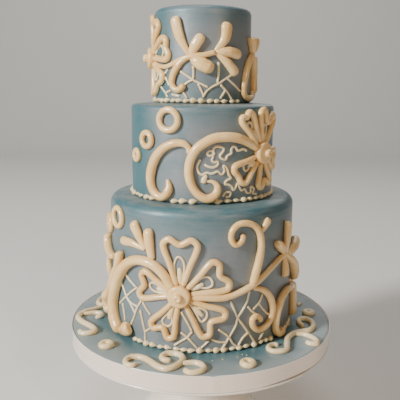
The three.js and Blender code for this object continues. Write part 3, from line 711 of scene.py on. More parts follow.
def steps_between(a, b, length):
    count = max(1, round(math.dist(a, b) / length))
    return [(a[0] + (b[0] - a[0]) * i / count, a[1] + (b[1] - a[1]) * i / count) for i in range(1, count)]


def tier_body(tier, material, seed):
    radius = tier["radius"]
    height = tier["height"]
    shoulder = tier["shoulder"]
    foot = [(0.0, 0.0), (radius - 1.2, 0.0), (radius, 1.2)]
    rim = height - tier["edge_drop"]
    bend = arc((radius - shoulder, rim - shoulder), shoulder, 0.0, 90.0, 10)
    side = steps_between(foot[-1], bend[0], 4.0)
    crown = (0.68 * radius, height)
    lid = steps_between(bend[-1], crown, 6.0) + [crown] + steps_between(crown, (0.0, height), 6.0)
    profile = foot + side + bend + lid + [(0.0, height)]

    def place(r, angle, z):
        at = Vector((math.sin(angle) * r, -math.cos(angle) * r, z))
        slow = noise.noise(at * 0.018 + Vector((seed, 0.0, 0.0)))
        quick = noise.noise(at * 0.05 + Vector((0.0, seed, 0.0)))
        share = min(1.0, z / 8.0) * min(1.0, r / 20.0)
        inset = share * (0.22 + 0.3 * slow + 0.12 * quick)
        sunk = min(1.0, z / height) * 0.5 * (0.25 + 0.25 * noise.noise(at * 0.03))
        reach = max(r - max(inset, 0.0), 0.0)
        return Vector((math.sin(angle) * reach, -math.cos(angle) * reach, tier["base"] + z - sunk)) * MM

    return turned(profile, 192, place, material)


def plain(r, angle, z):
    return Vector((math.sin(angle) * r, -math.cos(angle) * r, z)) * MM


def board_body(material):
    radius = BOARD_RADIUS - 0.5
    low = BOARD_TOP - BOARD_ICING
    bend = arc((radius - 2.2, BOARD_TOP - 2.2), 2.2, 0.0, 90.0, 6)
    centre = (0.0, BOARD_TOP)
    profile = [(0.0, low), (radius, low), *bend, *steps_between(bend[-1], centre, 5.0), centre]

    def place(r, angle, z):
        at = Vector((math.sin(angle) * r, -math.cos(angle) * r, z))
        sunk = 0.25 * (0.5 + 0.5 * noise.noise(at * 0.04)) if z > low + 1 else 0.0
        return Vector((at.x, at.y, z - sunk)) * MM

    return turned(profile, 200, place, material)


def ribbon_band(material):
    """A ribbon pulled round the board, a little proud along its top, with one end lapped over the other."""
    low = STAND_HEIGHT + SEAT
    high = BOARD_TOP + 0.2
    segments = 360
    lap = (0.052, 0.118)
    bm = bmesh.new()
    rings = []
    for i in range(segments):
        angle = 2 * math.pi * i / segments
        around = Vector((math.cos(angle), math.sin(angle), 0.0))
        rise = min(max((angle - lap[0]) / 0.006, 0.0), 1.0) * min(max((lap[1] - angle) / 0.03, 0.0), 1.0)
        gape = 1.5 * max(0.0, math.sin(math.pi * (angle - 0.4) / 0.5)) if 0.4 < angle < 0.9 else 0.0
        slack = 0.16 * noise.noise(around * 5.0)
        wave = 0.18 * noise.noise(around * 9.0 + Vector((0.0, 0.0, 3.0)))
        ring_places = []
        for share in (0.0, 0.03, 0.5, 0.9, 0.97, 1.0):
            lip = 0.75 * share * share
            r = BOARD_RADIUS - 0.15 + lip + slack * share * (1.2 - share) + 0.35 * rise * (1 - 0.4 * share)
            z = low + gape * (1 - share) + (high - low) * share - (0.8 * rise + 0.12 + wave * 0.5) * share
            ring_places.append((min(r, 152.9), z))
        inner = BOARD_RADIUS - 0.7
        lip_inside = (min(ring_places[-1][0] - 0.45, inner + 0.9), ring_places[-1][1])
        ring_places += [lip_inside, (inner, low + 12.0), (inner, low + gape)]
        rings.append([bm.verts.new(plain(r, angle, z)) for r, z in ring_places])
    for i in range(segments):
        here = rings[i]
        there = rings[(i + 1) % segments]
        for j in range(len(here)):
            k = (j + 1) % len(here)
            bm.faces.new((here[j], there[j], there[k], here[k]))
    bmesh.ops.recalc_face_normals(bm, faces=bm.faces)
    mesh = mesh_of(bm, "ribbon")
    mesh.shade_smooth()
    mesh.materials.append(material)
    return mesh


STAND_OUTLINE = [
    (0.0, 0.6), (60.0, 0.6), (63.0, 0.0), (70.5, 0.0), (71.8, 1.2), (70.4, 4.8), (66.5, 9.0),
    (63.8, 13.0), (58.0, 19.5), (52.3, 24.0), (42.0, 31.5), (34.3, 38.0), (28.6, 45.0), (26.3, 52.0),
    (25.0, 64.0), (25.3, 75.5), (26.6, 84.0), (30.6, 92.5), (37.5, 98.6), (47.0, 101.9), (75.0, 103.0),
    (120.0, 104.1), (148.5, 105.0), (151.4, 105.6), (152.4, 107.2), (151.6, 108.4), (149.0, 108.5),
]


def stand_body(material):
    profile = [(max(p.x, 0.0), max(p.y, 0.0)) for p in smooth_route(STAND_OUTLINE, spacing=2.5)]
    profile = [(0.0, STAND_OUTLINE[0][1])] + profile[1:] + [(0.0, STAND_HEIGHT)]
    profile = [(min(r, 152.5), min(z, STAND_HEIGHT)) for r, z in profile]
    return turned(profile, 200, plain, material)


def dress_body():
    ice = tier_icing("blue pearl icing, bottom", BOTTOM, 0.8, 0.15, 0.5, 0.45)
    dressed("cake_bottom", [tier_body(BOTTOM, ice, 3.0)], "blue_icing", "tier_bottom")
    ice = tier_icing("blue pearl icing, middle", MIDDLE, 0.7, 0.4, 1.0, 0.5)
    dressed("cake_middle", [tier_body(MIDDLE, ice, 5.0)], "blue_icing", "tier_middle")
    ice = tier_icing("blue pearl icing, top", TOP, 0.6, 0.6, 0.85, 0.5)
    dressed("cake_top", [tier_body(TOP, ice, 9.0)], "blue_icing", "tier_top")
    dressed("iced_board", [board_body(board_icing())], "blue_icing", "board_icing")
    dressed("satin_ribbon", [ribbon_band(RIBBON)], "ribbon", "ribbon")
    dressed("cake_stand", [stand_body(GLAZE)], "stand", "stand")


def board_icing():
    """The board's icing: deep teal sprayed round the cake's foot, fading to pale blue at the rim."""
    sheen = {"Sheen_Weight": 0.1, "Sheen_Roughness": 0.4}
    made, tree, shader = finish("blue board icing", Coat_Weight=0.15, Coat_Roughness=0.3, **sheen)
    place = object_place(tree)
    flat = vector_times(tree, place, (1.0, 1.0, 0.0))
    reach = node(tree, "ShaderNodeVectorMath", {0: flat}, operation="LENGTH").outputs["Value"]
    grain = use_group(tree, ICING_GRAIN, Dent_size=55.0, Dent_depth=0.8, Grain_size=1000.0, Grain_depth=0.15)
    drift = between(tree, noise_at(tree, place, 28.0, 2.0), 0.2, 0.8, -0.01, 0.01)
    near_cake = between(tree, plus(tree, reach, drift), 0.146, 0.108)
    painted = blend_colours(tree, near_cake, (0.24, 0.3, 0.32), (0.035, 0.13, 0.17))
    patchy = blend_colours(tree, times(tree, grain["Tone"], 0.3), painted, (0.15, 0.22, 0.25))
    dust = times(tree, grain["Specks"], 0.12)
    feed(shader, "Base Color", blend_colours(tree, dust, patchy, (0.6, 0.62, 0.6)))
    feed(shader, "Roughness", between(tree, grain["Tone"], 0.0, 1.0, 0.34, 0.48))
    bump(tree, shader, grain["Height"], 0.0009, 0.6)
    return made


# Work on the bottom tier

FLOWER = (-21.5, 61.5)
BOTTOM_PETALS = [
    (89.5, 58.5, 34.5, 0.085),
    (28.5, 50.5, 32.5, 0.095),
    (-40.5, 49.5, 34.5, 0.15),
    (-116, 47.5, 27.5, 0.14),
    (171, 45, 29.5, 0.11),
]
GREAT_SCROLL = rope(
    [(-28, 68), (-31, 73), (-39, 84), (-47.5, 90.5), (-58, 93.5), (-71.5, 92.5), (-84, 86), (-95.5, 75)]
    + [(-105, 61), (-112.5, 46.5), (-116.5, 34), (-115.5, 22), (-110.5, 12), (-104, 6.5), (-99, 5.5)],
    [4.4, 4.8, 5, 5, 5.4, 6, 6.4, 6.6, 6.6, 7.0, 7.2, 6.4],
)
GREAT_FLAP = rope([(-103, 3.5), (-95, 7), (-88, 11), (-81, 15.5)], [2.6, 5.0, 7.4, 9.0])
VINE = rope(
    [(-11, 60.5), (8, 60.5), (22, 60), (39, 64), (59, 71.5), (79, 83), (93, 89.5), (106, 93)],
    [3.0, 3.6, 3.7, 3.6, 3.4, 3.3, 3.2, 3.0],
)
KNOT = (106, 93)
QUESTION_SCROLL = rope(
    [(54, 70), (58, 84), (62, 98), (63.5, 110.5), (61.5, 123.5), (55, 132), (44.5, 136), (35.5, 134.5)]
    + [(30, 127.5), (30, 119.5), (34.5, 114.5), (40.5, 117.5), (42.5, 125.5)],
    [4.0, 4.4, 4.2, 3.8, 3.6, 3.3, 3.2, 3.1, 3.0],
)
LOWER_SCROLL = rope(
    [(56, 65.5), (65.5, 63), (75, 56), (81.5, 45.5), (83.5, 35), (80, 25.5), (72, 19.5), (62, 19)]
    + [(56, 25), (55.5, 32), (60, 34.5), (65, 31), (66, 26)],
    [2.4, 3.6, 4.0, 3.8, 3.6, 3.4, 3.3, 3.1],
)
ARCH_SCROLL = rope(
    [(142, 46), (122, 49), (112, 50.5), (102, 48), (94.5, 41), (90.5, 31.5), (88, 21), (89, 11)]
    + [(96, 4.5), (103, 5), (102, 9.5)],
    [3.0, 3.4, 3.7, 3.9, 3.8, 3.7, 3.4],
)
ARCH_STRAND = rope([(140, 48), (147, 43), (149, 35), (148.5, 24), (147.5, 6)], [3.2, 3.8, 4.0, 4.1, 4.1])
SIDE_SCROLL = rope(
    [(-106, 77), (-113, 66), (-121, 54), (-131, 41), (-143, 27), (-144, 17), (-134, 14)],
    [3.6, 4.0, 4.1, 4.4, 6.2, 6.0, 4.6],
)
HOOK = rope(
    [(-128, 84), (-140, 77), (-143, 69), (-134, 62), (-120, 62.5), (-109.5, 72), (-102, 82)]
    + [(-98, 90), (-97.5, 97)],
    [2.6, 2.9, 3.1, 3.1, 3.1, 3.4, 4.2, 4.6],
)
SPRIG = [
    leaf(KNOT, (107.5, 129.5), 4.4, 0.02, STRAP_LEAF_SHARES),
    leaf(KNOT, (85.5, 110), 5.0, 0.03),
    leaf((108, 90), (153, 99), 5.2, 0.0, OVAL_LEAF_SHARES),
    leaf(KNOT, (104.5, 66.5), 4.3, 0.0),
    leaf(KNOT, (149, 51.5), 5.6, 0.06, OVAL_LEAF_SHARES),
]
TWIN_LEAVES = [leaf((-60, 105), (-96.5, 109), 4.8, -0.06), leaf((-60, 105), (-75.5, 134), 5.6)]
THIRD_LEAF = leaf((-51.5, 95.5), (-55.5, 129), 5.4, 0.02, STRAP_LEAF_SHARES)
QUESTION_DROP = leaf((63.5, 122), (74.5, 138), 4.0)
LEFT_DROP = rope(
    [(-112, 85.5), (-126, 87.5), (-137, 92.5), (-141.5, 99), (-142, 106)],
    [3.4, 4.0, 4.3, 4.3, 4.2],
)
BOTTOM_RINGS = [ring((-105, 132), 9.9, 3.0), ring((-133.5, 120), 8.6, 3.1)]

BOTTOM_LATTICE = [
    line((-95, 73.5), (-85.5, 67.5), (-75, 62)),
    line((-102, 60.5), (-95.5, 52.5), (-91, 47), (-83, 39.5), (-76, 31.5)),
    line((-91, 47), (-84.5, 42.5), (-73, 40.5)),
    line((-91, 47), (-106, 34.5)),
    line((-91, 47), (-81.5, 55), (-72.5, 61.5)),
    line((-99.5, 36), (-96.5, 27), (-95, 18)),
    line((-66.5, 48.5), (-73, 39), (-77.5, 28.5), (-83.5, 17)),
    line((-64.5, 47), (-60, 41), (-55, 36)),
    line((-68, 37), (-65.5, 26.5), (-62.5, 16), (-62, 4.5)),
    line((-62, 15), (-55.5, 20)),
    line((-20, 44), (-14, 33.5), (-9.5, 24.5)),
    line((-20, 21.5), (-13.5, 16.5), (-4, 6)),
    line((-9, 23), (-14, 16.5), (-21, 11.5), (-27, 7)),
    line((11, 15), (19, 11.5), (26, 10.5)),
    line((8, 13), (1, 6)),
    line((18, 25.5), (24, 21), (29, 16.5), (34, 8.5), (40.5, 3)),
    line(
        (51.5, 62.5), (48.5, 51), (43.5, 42.5), (38.5, 36), (36.5, 27.5), (31.5, 18.5), (26, 9.5), (22.5, 4),
    ),
    line((30.5, 54.5), (34.5, 45.5), (38.5, 36), (45, 27), (51.5, 17.5), (60, 5)),
    line((68.5, 56), (64.5, 48), (57, 42.5)),
    line((50, 46.5), (55.5, 40.5), (62, 35.5)),
    line((64, 47), (71, 38.5), (77.5, 32.5), (82.5, 31.5)),
    line((51.5, 17.5), (45, 12.5), (40.5, 5.5)),
    line((71.5, 12.5), (66, 6.5)),
]
BOTTOM_LOOPS = [
    line((-27, 84), (-27, 95.5), (-23.5, 102), (-19.5, 100.5), (-17, 94), (-17.5, 86), (-20, 75)),
    line((-10, 72), (-4, 77.5), (1.5, 81.5), (7, 82), (11, 78), (11, 73), (6, 70.5), (-1, 71), (-9, 69.5)),
    line((-10, 53), (-4, 42), (1, 34.5), (5, 37.5), (6.5, 43.5), (3.5, 47.5), (-3, 49.5)),
    line((-29, 47), (-36, 39), (-40.5, 32), (-38.5, 28), (-33.5, 27), (-30, 31), (-30, 38), (-29, 46)),
    line((-34, 64.5), (-45, 69.5), (-52, 71.5), (-55, 68), (-52.5, 64), (-46, 62), (-35, 62)),
]
BOTTOM_WEDGES = [
    wedge((-21.5, 72), (-21.5, 81), (-22, 91)),
    wedge((-11, 68), (-4, 71.5), (3, 75.5)),
    wedge((-13, 54), (-5, 48), (2.5, 40)),
    wedge((-28, 51), (-31, 43), (-33.5, 34)),
    wedge((-33, 63.5), (-40, 65), (-47.5, 66.5)),
]


def bottom_side(by, side):
    """One side of the bottom tier, moved round it by the given length."""
    flower = (FLOWER[0] + by, FLOWER[1])
    petals = [petal(flower, *shape) for shape in BOTTOM_PETALS]
    front = side == "front"
    if front:
        icing("bottom_flower_middle", [button(BOTTOM, flower)], "bottom_flower_disc_front")
        for count, shape in enumerate(petals, 1):
            icing(f"bottom_flower_petal_{count}", [rolled(BOTTOM, [shape])], f"bottom_petal_{count}_front")
    else:
        icing("bottom_back_flower", [button(BOTTOM, flower), rolled(BOTTOM, petals)], "bottom_flower_back")
    ropes = {
        "great_scroll": [GREAT_SCROLL],
        "question_scroll": [QUESTION_SCROLL],
        "lower_scroll": [LOWER_SCROLL],
        "arch_scroll": [ARCH_SCROLL, ARCH_STRAND],
        "side_scroll": [SIDE_SCROLL],
        "vine": [VINE],
    }
    plump = {"Settled": 0.92, "Height_share": 1.15}
    fuller = {"side_scroll": plump, "left_drop": plump, "hook": plump, "arch_scroll": plump}
    fuller["right_sprig"] = {"Settled": 0.92, "Height_share": 1.0}
    leaves = {}
    if front:
        ropes["hook"] = [HOOK]
        ropes["ring_1"] = [BOTTOM_RINGS[0]]
        ropes["ring_2"] = [BOTTOM_RINGS[1]]
        leaves = {
            "right_sprig": SPRIG,
            "twin_leaf": TWIN_LEAVES,
            "leaf_3": [THIRD_LEAF],
            "drop": [QUESTION_DROP],
            "left_drop": [LEFT_DROP],
        }
    else:
        leaves = {"great_scroll": TWIN_LEAVES, "vine": SPRIG}
    for label in [*ropes, *(name for name in leaves if name not in ropes)]:
        more = fuller.get(label, {})
        meshes = []
        if label in ropes:
            meshes.append(rolled(BOTTOM, moved_round(ropes[label], by), **more))
        if label in leaves:
            meshes.append(paddles(BOTTOM, moved_round(leaves[label], by), **more))
        if label == "great_scroll":
            flap = moved_round([GREAT_FLAP], by)
            meshes.append(rolled(BOTTOM, flap, Lift=0.0026, Height_share=0.62, Round_ends=0.4))
        icing(f"bottom_{label}_{side}_icing", meshes, f"bottom_{label}_{side}")
    fine = moved_round(BOTTOM_LATTICE + BOTTOM_LOOPS, by)
    fills = moved_round(BOTTOM_WEDGES, by)
    meshes = [piped(BOTTOM, fine), piped(BOTTOM, fills, Height_share=0.6)]
    icing(f"bottom_piping_{side}", meshes, "tier_bottom")


# Work on the middle tier

MIDDLE_FLOWER = (70.3, 49.8)
BACK_SHIFT = -14.0
MIDDLE_PETALS = [
    (122, 47.3, 14.5, 0.05),
    (74, 43.5, 30, 0.25),
    (214, 40, 21.5, 0.02),
    (280, 36, 22.5, 0.16),
    (342, 31, 21, 0.1),
]
LEFT_SCROLL = rope(
    [(-14, 51), (-13.5, 57.5), (-18, 61.5), (-26, 62), (-34, 59.5), (-42.5, 54), (-49.5, 45.5), (-54.5, 34.5)]
    + [(-56.5, 23), (-54, 13), (-48, 6.5), (-41.5, 5.5), (-36, 10), (-34, 16.5), (-36.5, 25)],
    [2.0, 3.6, 4.2, 4.5, 4.9, 5, 4.8, 4.5, 4.4, 4.6, 1.6],
)
CENTRE_SCROLL = rope(
    [(62, 54.5), (59, 56), (45.5, 63.5), (34, 67.5), (24, 68.5), (12, 67.5), (2.5, 63), (-6, 56), (-11, 46.5)]
    + [(-13, 37.5), (-12.5, 27.5), (-9.5, 18.5), (-3.5, 10.5), (4.5, 6), (11.5, 8), (15.5, 14.5)]
    + [(14.5, 20.5), (10, 23.5), (4.5, 23.5)],
    [3.4, 4.2, 4.9, 5.1, 5, 4.8, 4.7, 4.6, 4.4, 4.3, 4.8, 3.6, 0.9],
)
MIDDLE_RINGS = [ring((-34.8, 84.7), 10.3, 3.3), ring((-63, 63.5), 7.2, 3.1), ring((-83, 45.5), 5.2, 2.9)]
MIDDLE_LOOPS = [
    line((58, 66), (53.5, 73), (54.5, 79), (51.5, 82.5), (48, 79.5), (50, 74), (57, 65)),
    line((71.5, 62), (74, 72), (75, 79), (79, 78), (79.5, 71), (75, 61)),
    line((60, 41.5), (53, 40.5), (46, 40), (44.5, 36), (47.5, 32.5), (51, 34.5), (52, 38)),
]
MIDDLE_WEDGES = [
    rope([(61, 60), (57, 68), (53.5, 75)], [3.6, 4.4, 4.0, 2.4]),
    rope([(71.5, 60), (74, 66), (76, 71)], [2.6, 3.0, 2.0]),
    rope([(60, 42), (55.5, 39.5), (51, 37.5)], [2.6, 3.4, 2.2]),
    rope([(4.5, 31), (0.5, 21)], [1.6, 2.9, 2.6]),
]
UPPER_SQUIGGLE = line(
    (48, 53.5), (44, 55.5), (40, 54.5), (37, 54.5), (35, 57.5), (32, 58.5), (30, 55.5), (30, 51.5),
    (26, 49.5), (24, 45.5), (20, 46.5), (18, 49.5), (21, 53.5), (22, 56.5), (18, 58.5), (13, 58.5),
    (11, 55.5), (12, 51.5), (8, 49.5), (5, 51.5), (7, 54.5), (11, 53.5), (11, 48.5), (10, 44.5),
    (13, 43), (16, 43.5), (16, 40.5), (12, 38), (7, 38.5), (3, 40.5),
)
LOWER_SQUIGGLE = line(
    (-2, 45.5), (-5, 38.5), (-3, 32.5), (0, 30.5), (5, 32.5), (10, 31.5), (16, 33.5), (20, 30.5),
    (23, 33.5), (22, 39.5), (25, 37.5), (28, 29.5), (30, 26.5), (25, 23.5), (24, 20.5), (28, 19.5),
    (32, 16.5), (33, 13.5), (36, 16.5), (38, 20.5), (40, 16.5), (43, 12.5), (47, 13.5), (50, 9.5),
    (55, 9.5), (55, 15.5), (60, 12.5), (58, 8.5), (64, 6.5),
)
SMALL_SQUIGGLE = line((22, 8), (25, 12), (30, 11), (29, 7.5), (25, 7))


def middle_side(by, side):
    flower = (MIDDLE_FLOWER[0] + by, MIDDLE_FLOWER[1])
    petals = [petal(flower, *shape) for shape in MIDDLE_PETALS]
    meshes = [button(MIDDLE, flower), rolled(MIDDLE, petals)]
    icing(f"middle_flower_{side}_icing", meshes, f"middle_flower_{side}")
    ropes = {"left_scroll": LEFT_SCROLL, "centre_scroll": CENTRE_SCROLL, "ring_1": MIDDLE_RINGS[0]}
    if side == "front":
        ropes["ring_2"] = MIDDLE_RINGS[1]
        ropes["ring_3"] = MIDDLE_RINGS[2]
    for label, piece in ropes.items():
        mesh = rolled(MIDDLE, moved_round([piece], by))
        icing(f"middle_{label}_{side}_icing", [mesh], f"middle_{label}_{side}")
    fine = [UPPER_SQUIGGLE, LOWER_SQUIGGLE, SMALL_SQUIGGLE, *MIDDLE_LOOPS]
    lines = piped(MIDDLE, moved_round(fine, by))
    fills = piped(MIDDLE, moved_round(MIDDLE_WEDGES, by), Height_share=0.6)
    icing(f"middle_piping_{side}", [lines, fills], "tier_middle")


# Work on the top tier

TOP_FLOWER = (-80.5, 47)
TOP_PETALS = [
    (72, 41.5, 31, 0.1),
    (13, 42, 22, 0.05),
    (-50, 39, 27, 0.04),
    (245, 38, 26, 0.06),
    (150, 40, 26, 0.06),
]
TOP_VINE = rope(
    [(-68, 42), (-61, 40), (-54, 38.5), (-43, 37), (-34.5, 39), (-25, 43), (-15.5, 46), (-7.5, 47.5)]
    + [(2, 48.5), (13, 51.5)],
    [2.0, 2.2, 2.4, 2.5, 2.8, 3, 3, 2.8],
)
LEAF_KNOT = (-13, 46.5)
FAR_KNOT = (12, 51.5)
NEAR_LEAVES = [
    leaf(LEAF_KNOT, (-29.5, 87.5), 5.6, 0.055),
    leaf(LEAF_KNOT, (0, 69), 5.3, 0.04, OVAL_LEAF_SHARES),
    leaf(LEAF_KNOT, (11, 33.5), 6.8, -0.02, OVAL_LEAF_SHARES),
]
FAR_LEAVES = [
    leaf(FAR_KNOT, (24, 82), 5.7, -0.14),
    leaf(FAR_KNOT, (42.5, 48.5), 5.4, 0.06, OVAL_LEAF_SHARES),
    leaf(FAR_KNOT, (37, 28.5), 5.3, 0.04),
]
TOP_BACK_FLOWER = (-26, 47)
TOP_BACK_PETALS = [(angle, 34, 23) for angle in (90, 18, -54, -126, 162)]
TOP_BACK_LEAVES = [
    leaf((17.5, 50), (22.5, 79), 5.2, -0.06),
    leaf((17.5, 50), (40, 45), 5.2, 0.04, OVAL_LEAF_SHARES),
    leaf((17.5, 50), (32, 24), 5.0, 0.04),
]
TOP_CURL = rope(
    [(-12, 47), (-16.5, 45), (-22.5, 41.5), (-27.5, 35.5), (-32, 27.5), (-33, 19.5), (-29, 14)]
    + [(-23.5, 14), (-18.5, 19.5)],
    [1.8, 2.8, 3.5, 3.6, 3.5, 3.3, 3.3, 3.7],
)
TOP_ARCH = rope(
    [(79, 52), (71, 51.5), (64, 48), (57.5, 42), (52.5, 32.5), (49.5, 22), (48.5, 12), (53, 6)]
    + [(62, 4.8), (73, 6.5), (80, 11)],
    [3.2, 3.5, 3.7, 3.8, 3.7, 3.5, 3.4, 3.4, 3.6, 4.2],
)
TOP_STRAND = rope([(81, 51), (84, 40), (85, 26), (83, 9)], [3.2, 3.4, 3.5, 3.5])
TOP_ARCH_LEAVES = [
    leaf((67, 52.5), (58.5, 68.5), 3.8, 0.0, STRAP_LEAF_SHARES),
    leaf((71, 52.5), (82, 70), 3.9, 0.0, STRAP_LEAF_SHARES),
]
TOP_LOOPS = [
    inner_loop(TOP_FLOWER, 72, 31, 9),
    inner_loop(TOP_FLOWER, 12, 34, 12),
    inner_loop(TOP_FLOWER, -50, 29, 10),
]
TOP_LATTICE = [
    line((-23.5, 32), (-16, 27.5), (-10, 23.5), (-2.5, 20), (5, 16.5)),
    line((-10, 37), (-9.5, 30.5), (-10.5, 24), (-15, 21.5), (-20.5, 17.5)),
    line((-4.5, 19.5), (-2, 14.5), (1, 8)),
    line((16, 41), (16.5, 31.5), (15.5, 21.5)),
    line((0.5, 6.5), (4.5, 12.5), (10.5, 17), (16.5, 20), (24.5, 25), (30.5, 28.5)),
    line((26, 25.5), (34.5, 19.5), (44, 12.5)),
    line((19, 18.5), (24.5, 13.5), (29, 8.5), (32, 4.5)),
    line((24.5, 13.5), (19, 5.5)),
    line((-20.5, 11), (-16.5, 5.5)),
    line((-51.5, 16), (-44, 10), (-41, 6)),
    line((-44, 10), (-36.5, 12.5)),
    line((-47, 29), (-42, 24), (-38.5, 18)),
    line((-47, 29), (-41, 33.5), (-41.5, 37)),
    line((-34, 8.5), (-25, 7)),
]


def top_front():
    petals = [petal(TOP_FLOWER, *shape) for shape in TOP_PETALS]
    icing("top_flower_front_icing", [button(TOP, TOP_FLOWER), rolled(TOP, petals)], "top_flower_front")
    spray = [rolled(TOP, [TOP_VINE]), paddles(TOP, NEAR_LEAVES + FAR_LEAVES)]
    icing("top_spray_front_icing", spray, "top_spray_front")
    icing("top_curl_front_icing", [rolled(TOP, [TOP_CURL])], "top_curl_front")
    tall = {"Settled": 0.92, "Height_share": 1.3}
    arch = [rolled(TOP, [TOP_ARCH]), rolled(TOP, [TOP_STRAND], **tall)]
    arch.append(paddles(TOP, TOP_ARCH_LEAVES, **tall))
    icing("top_arch_front_icing", arch, "top_arch_front")
    icing("top_piping_front", [piped(TOP, TOP_LATTICE + TOP_LOOPS)], "tier_top")


def top_back():
    by = math.pi * TOP["radius"]
    flower = (TOP_BACK_FLOWER[0] + by, TOP_BACK_FLOWER[1])
    petals = [petal(flower, *shape) for shape in TOP_BACK_PETALS]
    icing("top_flower_back_icing", [button(TOP, flower), rolled(TOP, petals)], "top_flower_back")
    leaves = moved_round(TOP_BACK_LEAVES, by)
    icing("top_spray_back_icing", [paddles(TOP, leaves)], "top_spray_back")
    loops = [inner_loop(flower, shape[0], 26, 8) for shape in TOP_BACK_PETALS]
    lattice = moved_round(TOP_LATTICE, by)
    icing("top_piping_back", [piped(TOP, lattice + loops)], "tier_top")


# Work on the board

FRONT_SCROLL = [
    (-63, -131), (-66.5, -135), (-72, -133), (-74.5, -127), (-72, -119.5), (-64, -117.5), (-55.5, -121.5),
    (-48, -129.5), (-41.5, -137.5), (-33.5, -142), (-26.5, -139), (-20, -130), (-17.5, -121.5), (-20.5, -113),
    (-27.5, -109.5), (-35, -110.5), (-39, -117.5), (-36, -123.5), (-29, -124.5),
]
FRONT_LOOP = [
    (-19, -130.5), (-12.5, -129), (-4.5, -129), (2, -134), (3, -142.5), (-3, -147.5), (-10.5, -148),
    (-16, -142),
]
LEFT_BOARD_SCROLL = [
    (-120.5, 16), (-129.5, 7.5), (-138, -0.5), (-144, -10), (-144, -20), (-137.5, -31.5), (-129, -40),
    (-122.5, -47), (-118, -56), (-120, -61), (-126.5, -63.5), (-132, -61.5), (-135.5, -55),
]
LEFT_BRANCH = [(-141, -9), (-135.5, -6.5), (-127.5, -4.5), (-119.5, -7.5), (-118.5, -15.5), (-125, -18)]
RIGHT_BOARD_SCROLL = [
    (82.5, -88), (79, -86), (73, -89.5), (71, -96.5), (74.5, -102), (81, -103), (88.5, -99.5), (92, -84.5),
    (95, -71), (103, -59), (112, -54.5), (121.5, -51), (128, -40), (128.5, -26), (122, -18), (115, -22),
    (114, -32), (117.5, -40),
]
RIGHT_BRANCH = [(103, -59), (114, -60.5), (121, -66.5), (125, -76.5), (123, -84), (116.5, -83), (113.5, -78)]
CRUMBS = [(22.5, -118.4), (37.6, -112.8), (43, -107.2), (47.3, -108.2), (-62, -113), (-71, -108), (96, -94)]
CRUMBS += [(-118, 22), (-104, 60), (31, 121), (-40, 119), (118, 40), (12, -121), (88, 92)]
EVEN = [2.6, 3.2, 3.3, 3.3, 3.3, 2.9]
SLIM = [2.4, 3.0, 2.8]


def half_turned(points):
    return [(-x, -y) for x, y in points]


def board_work():
    scrolls = {
        "board_scroll_front": [rope(FRONT_SCROLL, EVEN), rope(FRONT_LOOP, [2.6, 3.1, 3.1, 2.8])],
        "board_scroll_left": [rope(LEFT_BOARD_SCROLL, EVEN), rope(LEFT_BRANCH, SLIM)],
        "board_scroll_right": [rope(RIGHT_BOARD_SCROLL, EVEN), rope(RIGHT_BRANCH, SLIM)],
        "board_ring_left": [ring((-99.5, -91), 5.2, 3.4)],
        "board_ring_front": [ring((47, -129), 5.2, 3.4)],
        "board_ring_right": [ring((130.5, 1), 4.7, 3.2)],
        "board_scroll_back": [
            rope(half_turned(FRONT_SCROLL), EVEN),
            rope(half_turned(FRONT_LOOP), [2.6, 3.1, 3.1, 2.8]),
        ],
        "board_scroll_back_left": [
            rope(half_turned(RIGHT_BOARD_SCROLL), EVEN),
            rope(half_turned(RIGHT_BRANCH), SLIM),
        ],
    }
    for name, ropes in scrolls.items():
        icing(f"{name}_icing", [rolled(BOARD, ropes, PIPED_IVORY, Unevenness=0.1)], name)


def crumbs():
    """Crumbs of icing left on the board, and a blob behind the right scroll."""
    flat = flat_points(CRUMBS)
    sizes = {"Bead_length": 0.0015, "Bead_width": 0.0013, "Bead_height": 0.0011, "Variation": 0.45}
    blob = rope([(121, 26.5), (123.5, 29.5), (125, 33), (128.5, 33.5)], [1.6, 2.5, 2.1, 1.2])
    meshes = [grown(BEADS, flat, BOARD, PIPED_IVORY, **sizes), piped(BOARD, [blob], Unevenness=0.3)]
    icing("board_crumbs", meshes, "board_icing")


# The beads along each tier's foot

def bead_row(name, tier, length, height, node_name, gaps, seed):
    """Beads all the way round, left out where a scroll reaches the tier's foot."""
    chance = random.Random(seed)
    around = 2 * math.pi * tier["radius"]
    count = round(around / length)
    places = []
    for i in range(count):
        u = around * (i + chance.uniform(-0.13, 0.13)) / count
        v = height * 0.5 - 0.6 + chance.uniform(-0.3, 0.5)
        if not any((u - low) % around < (high - low) for low, high in gaps):
            places.append((u, v))
    flat = flat_points(places)
    sizes = {"Bead_length": length * 1.12 * MM, "Bead_width": height * MM, "Bead_height": height * 0.8 * MM}
    icing(name, [grown(BEADS, flat, tier, PIPED_IVORY, Lift=-0.0004, **sizes)], node_name)


def both_sides(gaps, tier, shift=0.0):
    half_way = math.pi * tier["radius"] + shift
    return gaps + [(low + half_way, high + half_way) for low, high in gaps]


def all_beads():
    gaps = both_sides([(-99, -82), (92, 106), (139, 143)], BOTTOM)
    bead_row("bottom_beads", BOTTOM, 8.6, 6.2, "tier_bottom", gaps, 11)
    gaps = both_sides([(-52, -34), (-4, 13)], MIDDLE, BACK_SHIFT)
    bead_row("middle_beads", MIDDLE, 9.4, 5.8, "tier_middle", gaps, 12)
    bead_row("top_beads", TOP, 8.3, 5.6, "tier_top", [(49, 89)], 13)


dress_body()
bottom_side(0.0, "front")
bottom_side(math.pi * BOTTOM["radius"], "back")
middle_side(0.0, "front")
middle_side(math.pi * MIDDLE["radius"] + BACK_SHIFT, "back")
top_front()
top_back()
board_work()
crumbs()
all_beads()


# Board core, floor, light and camera

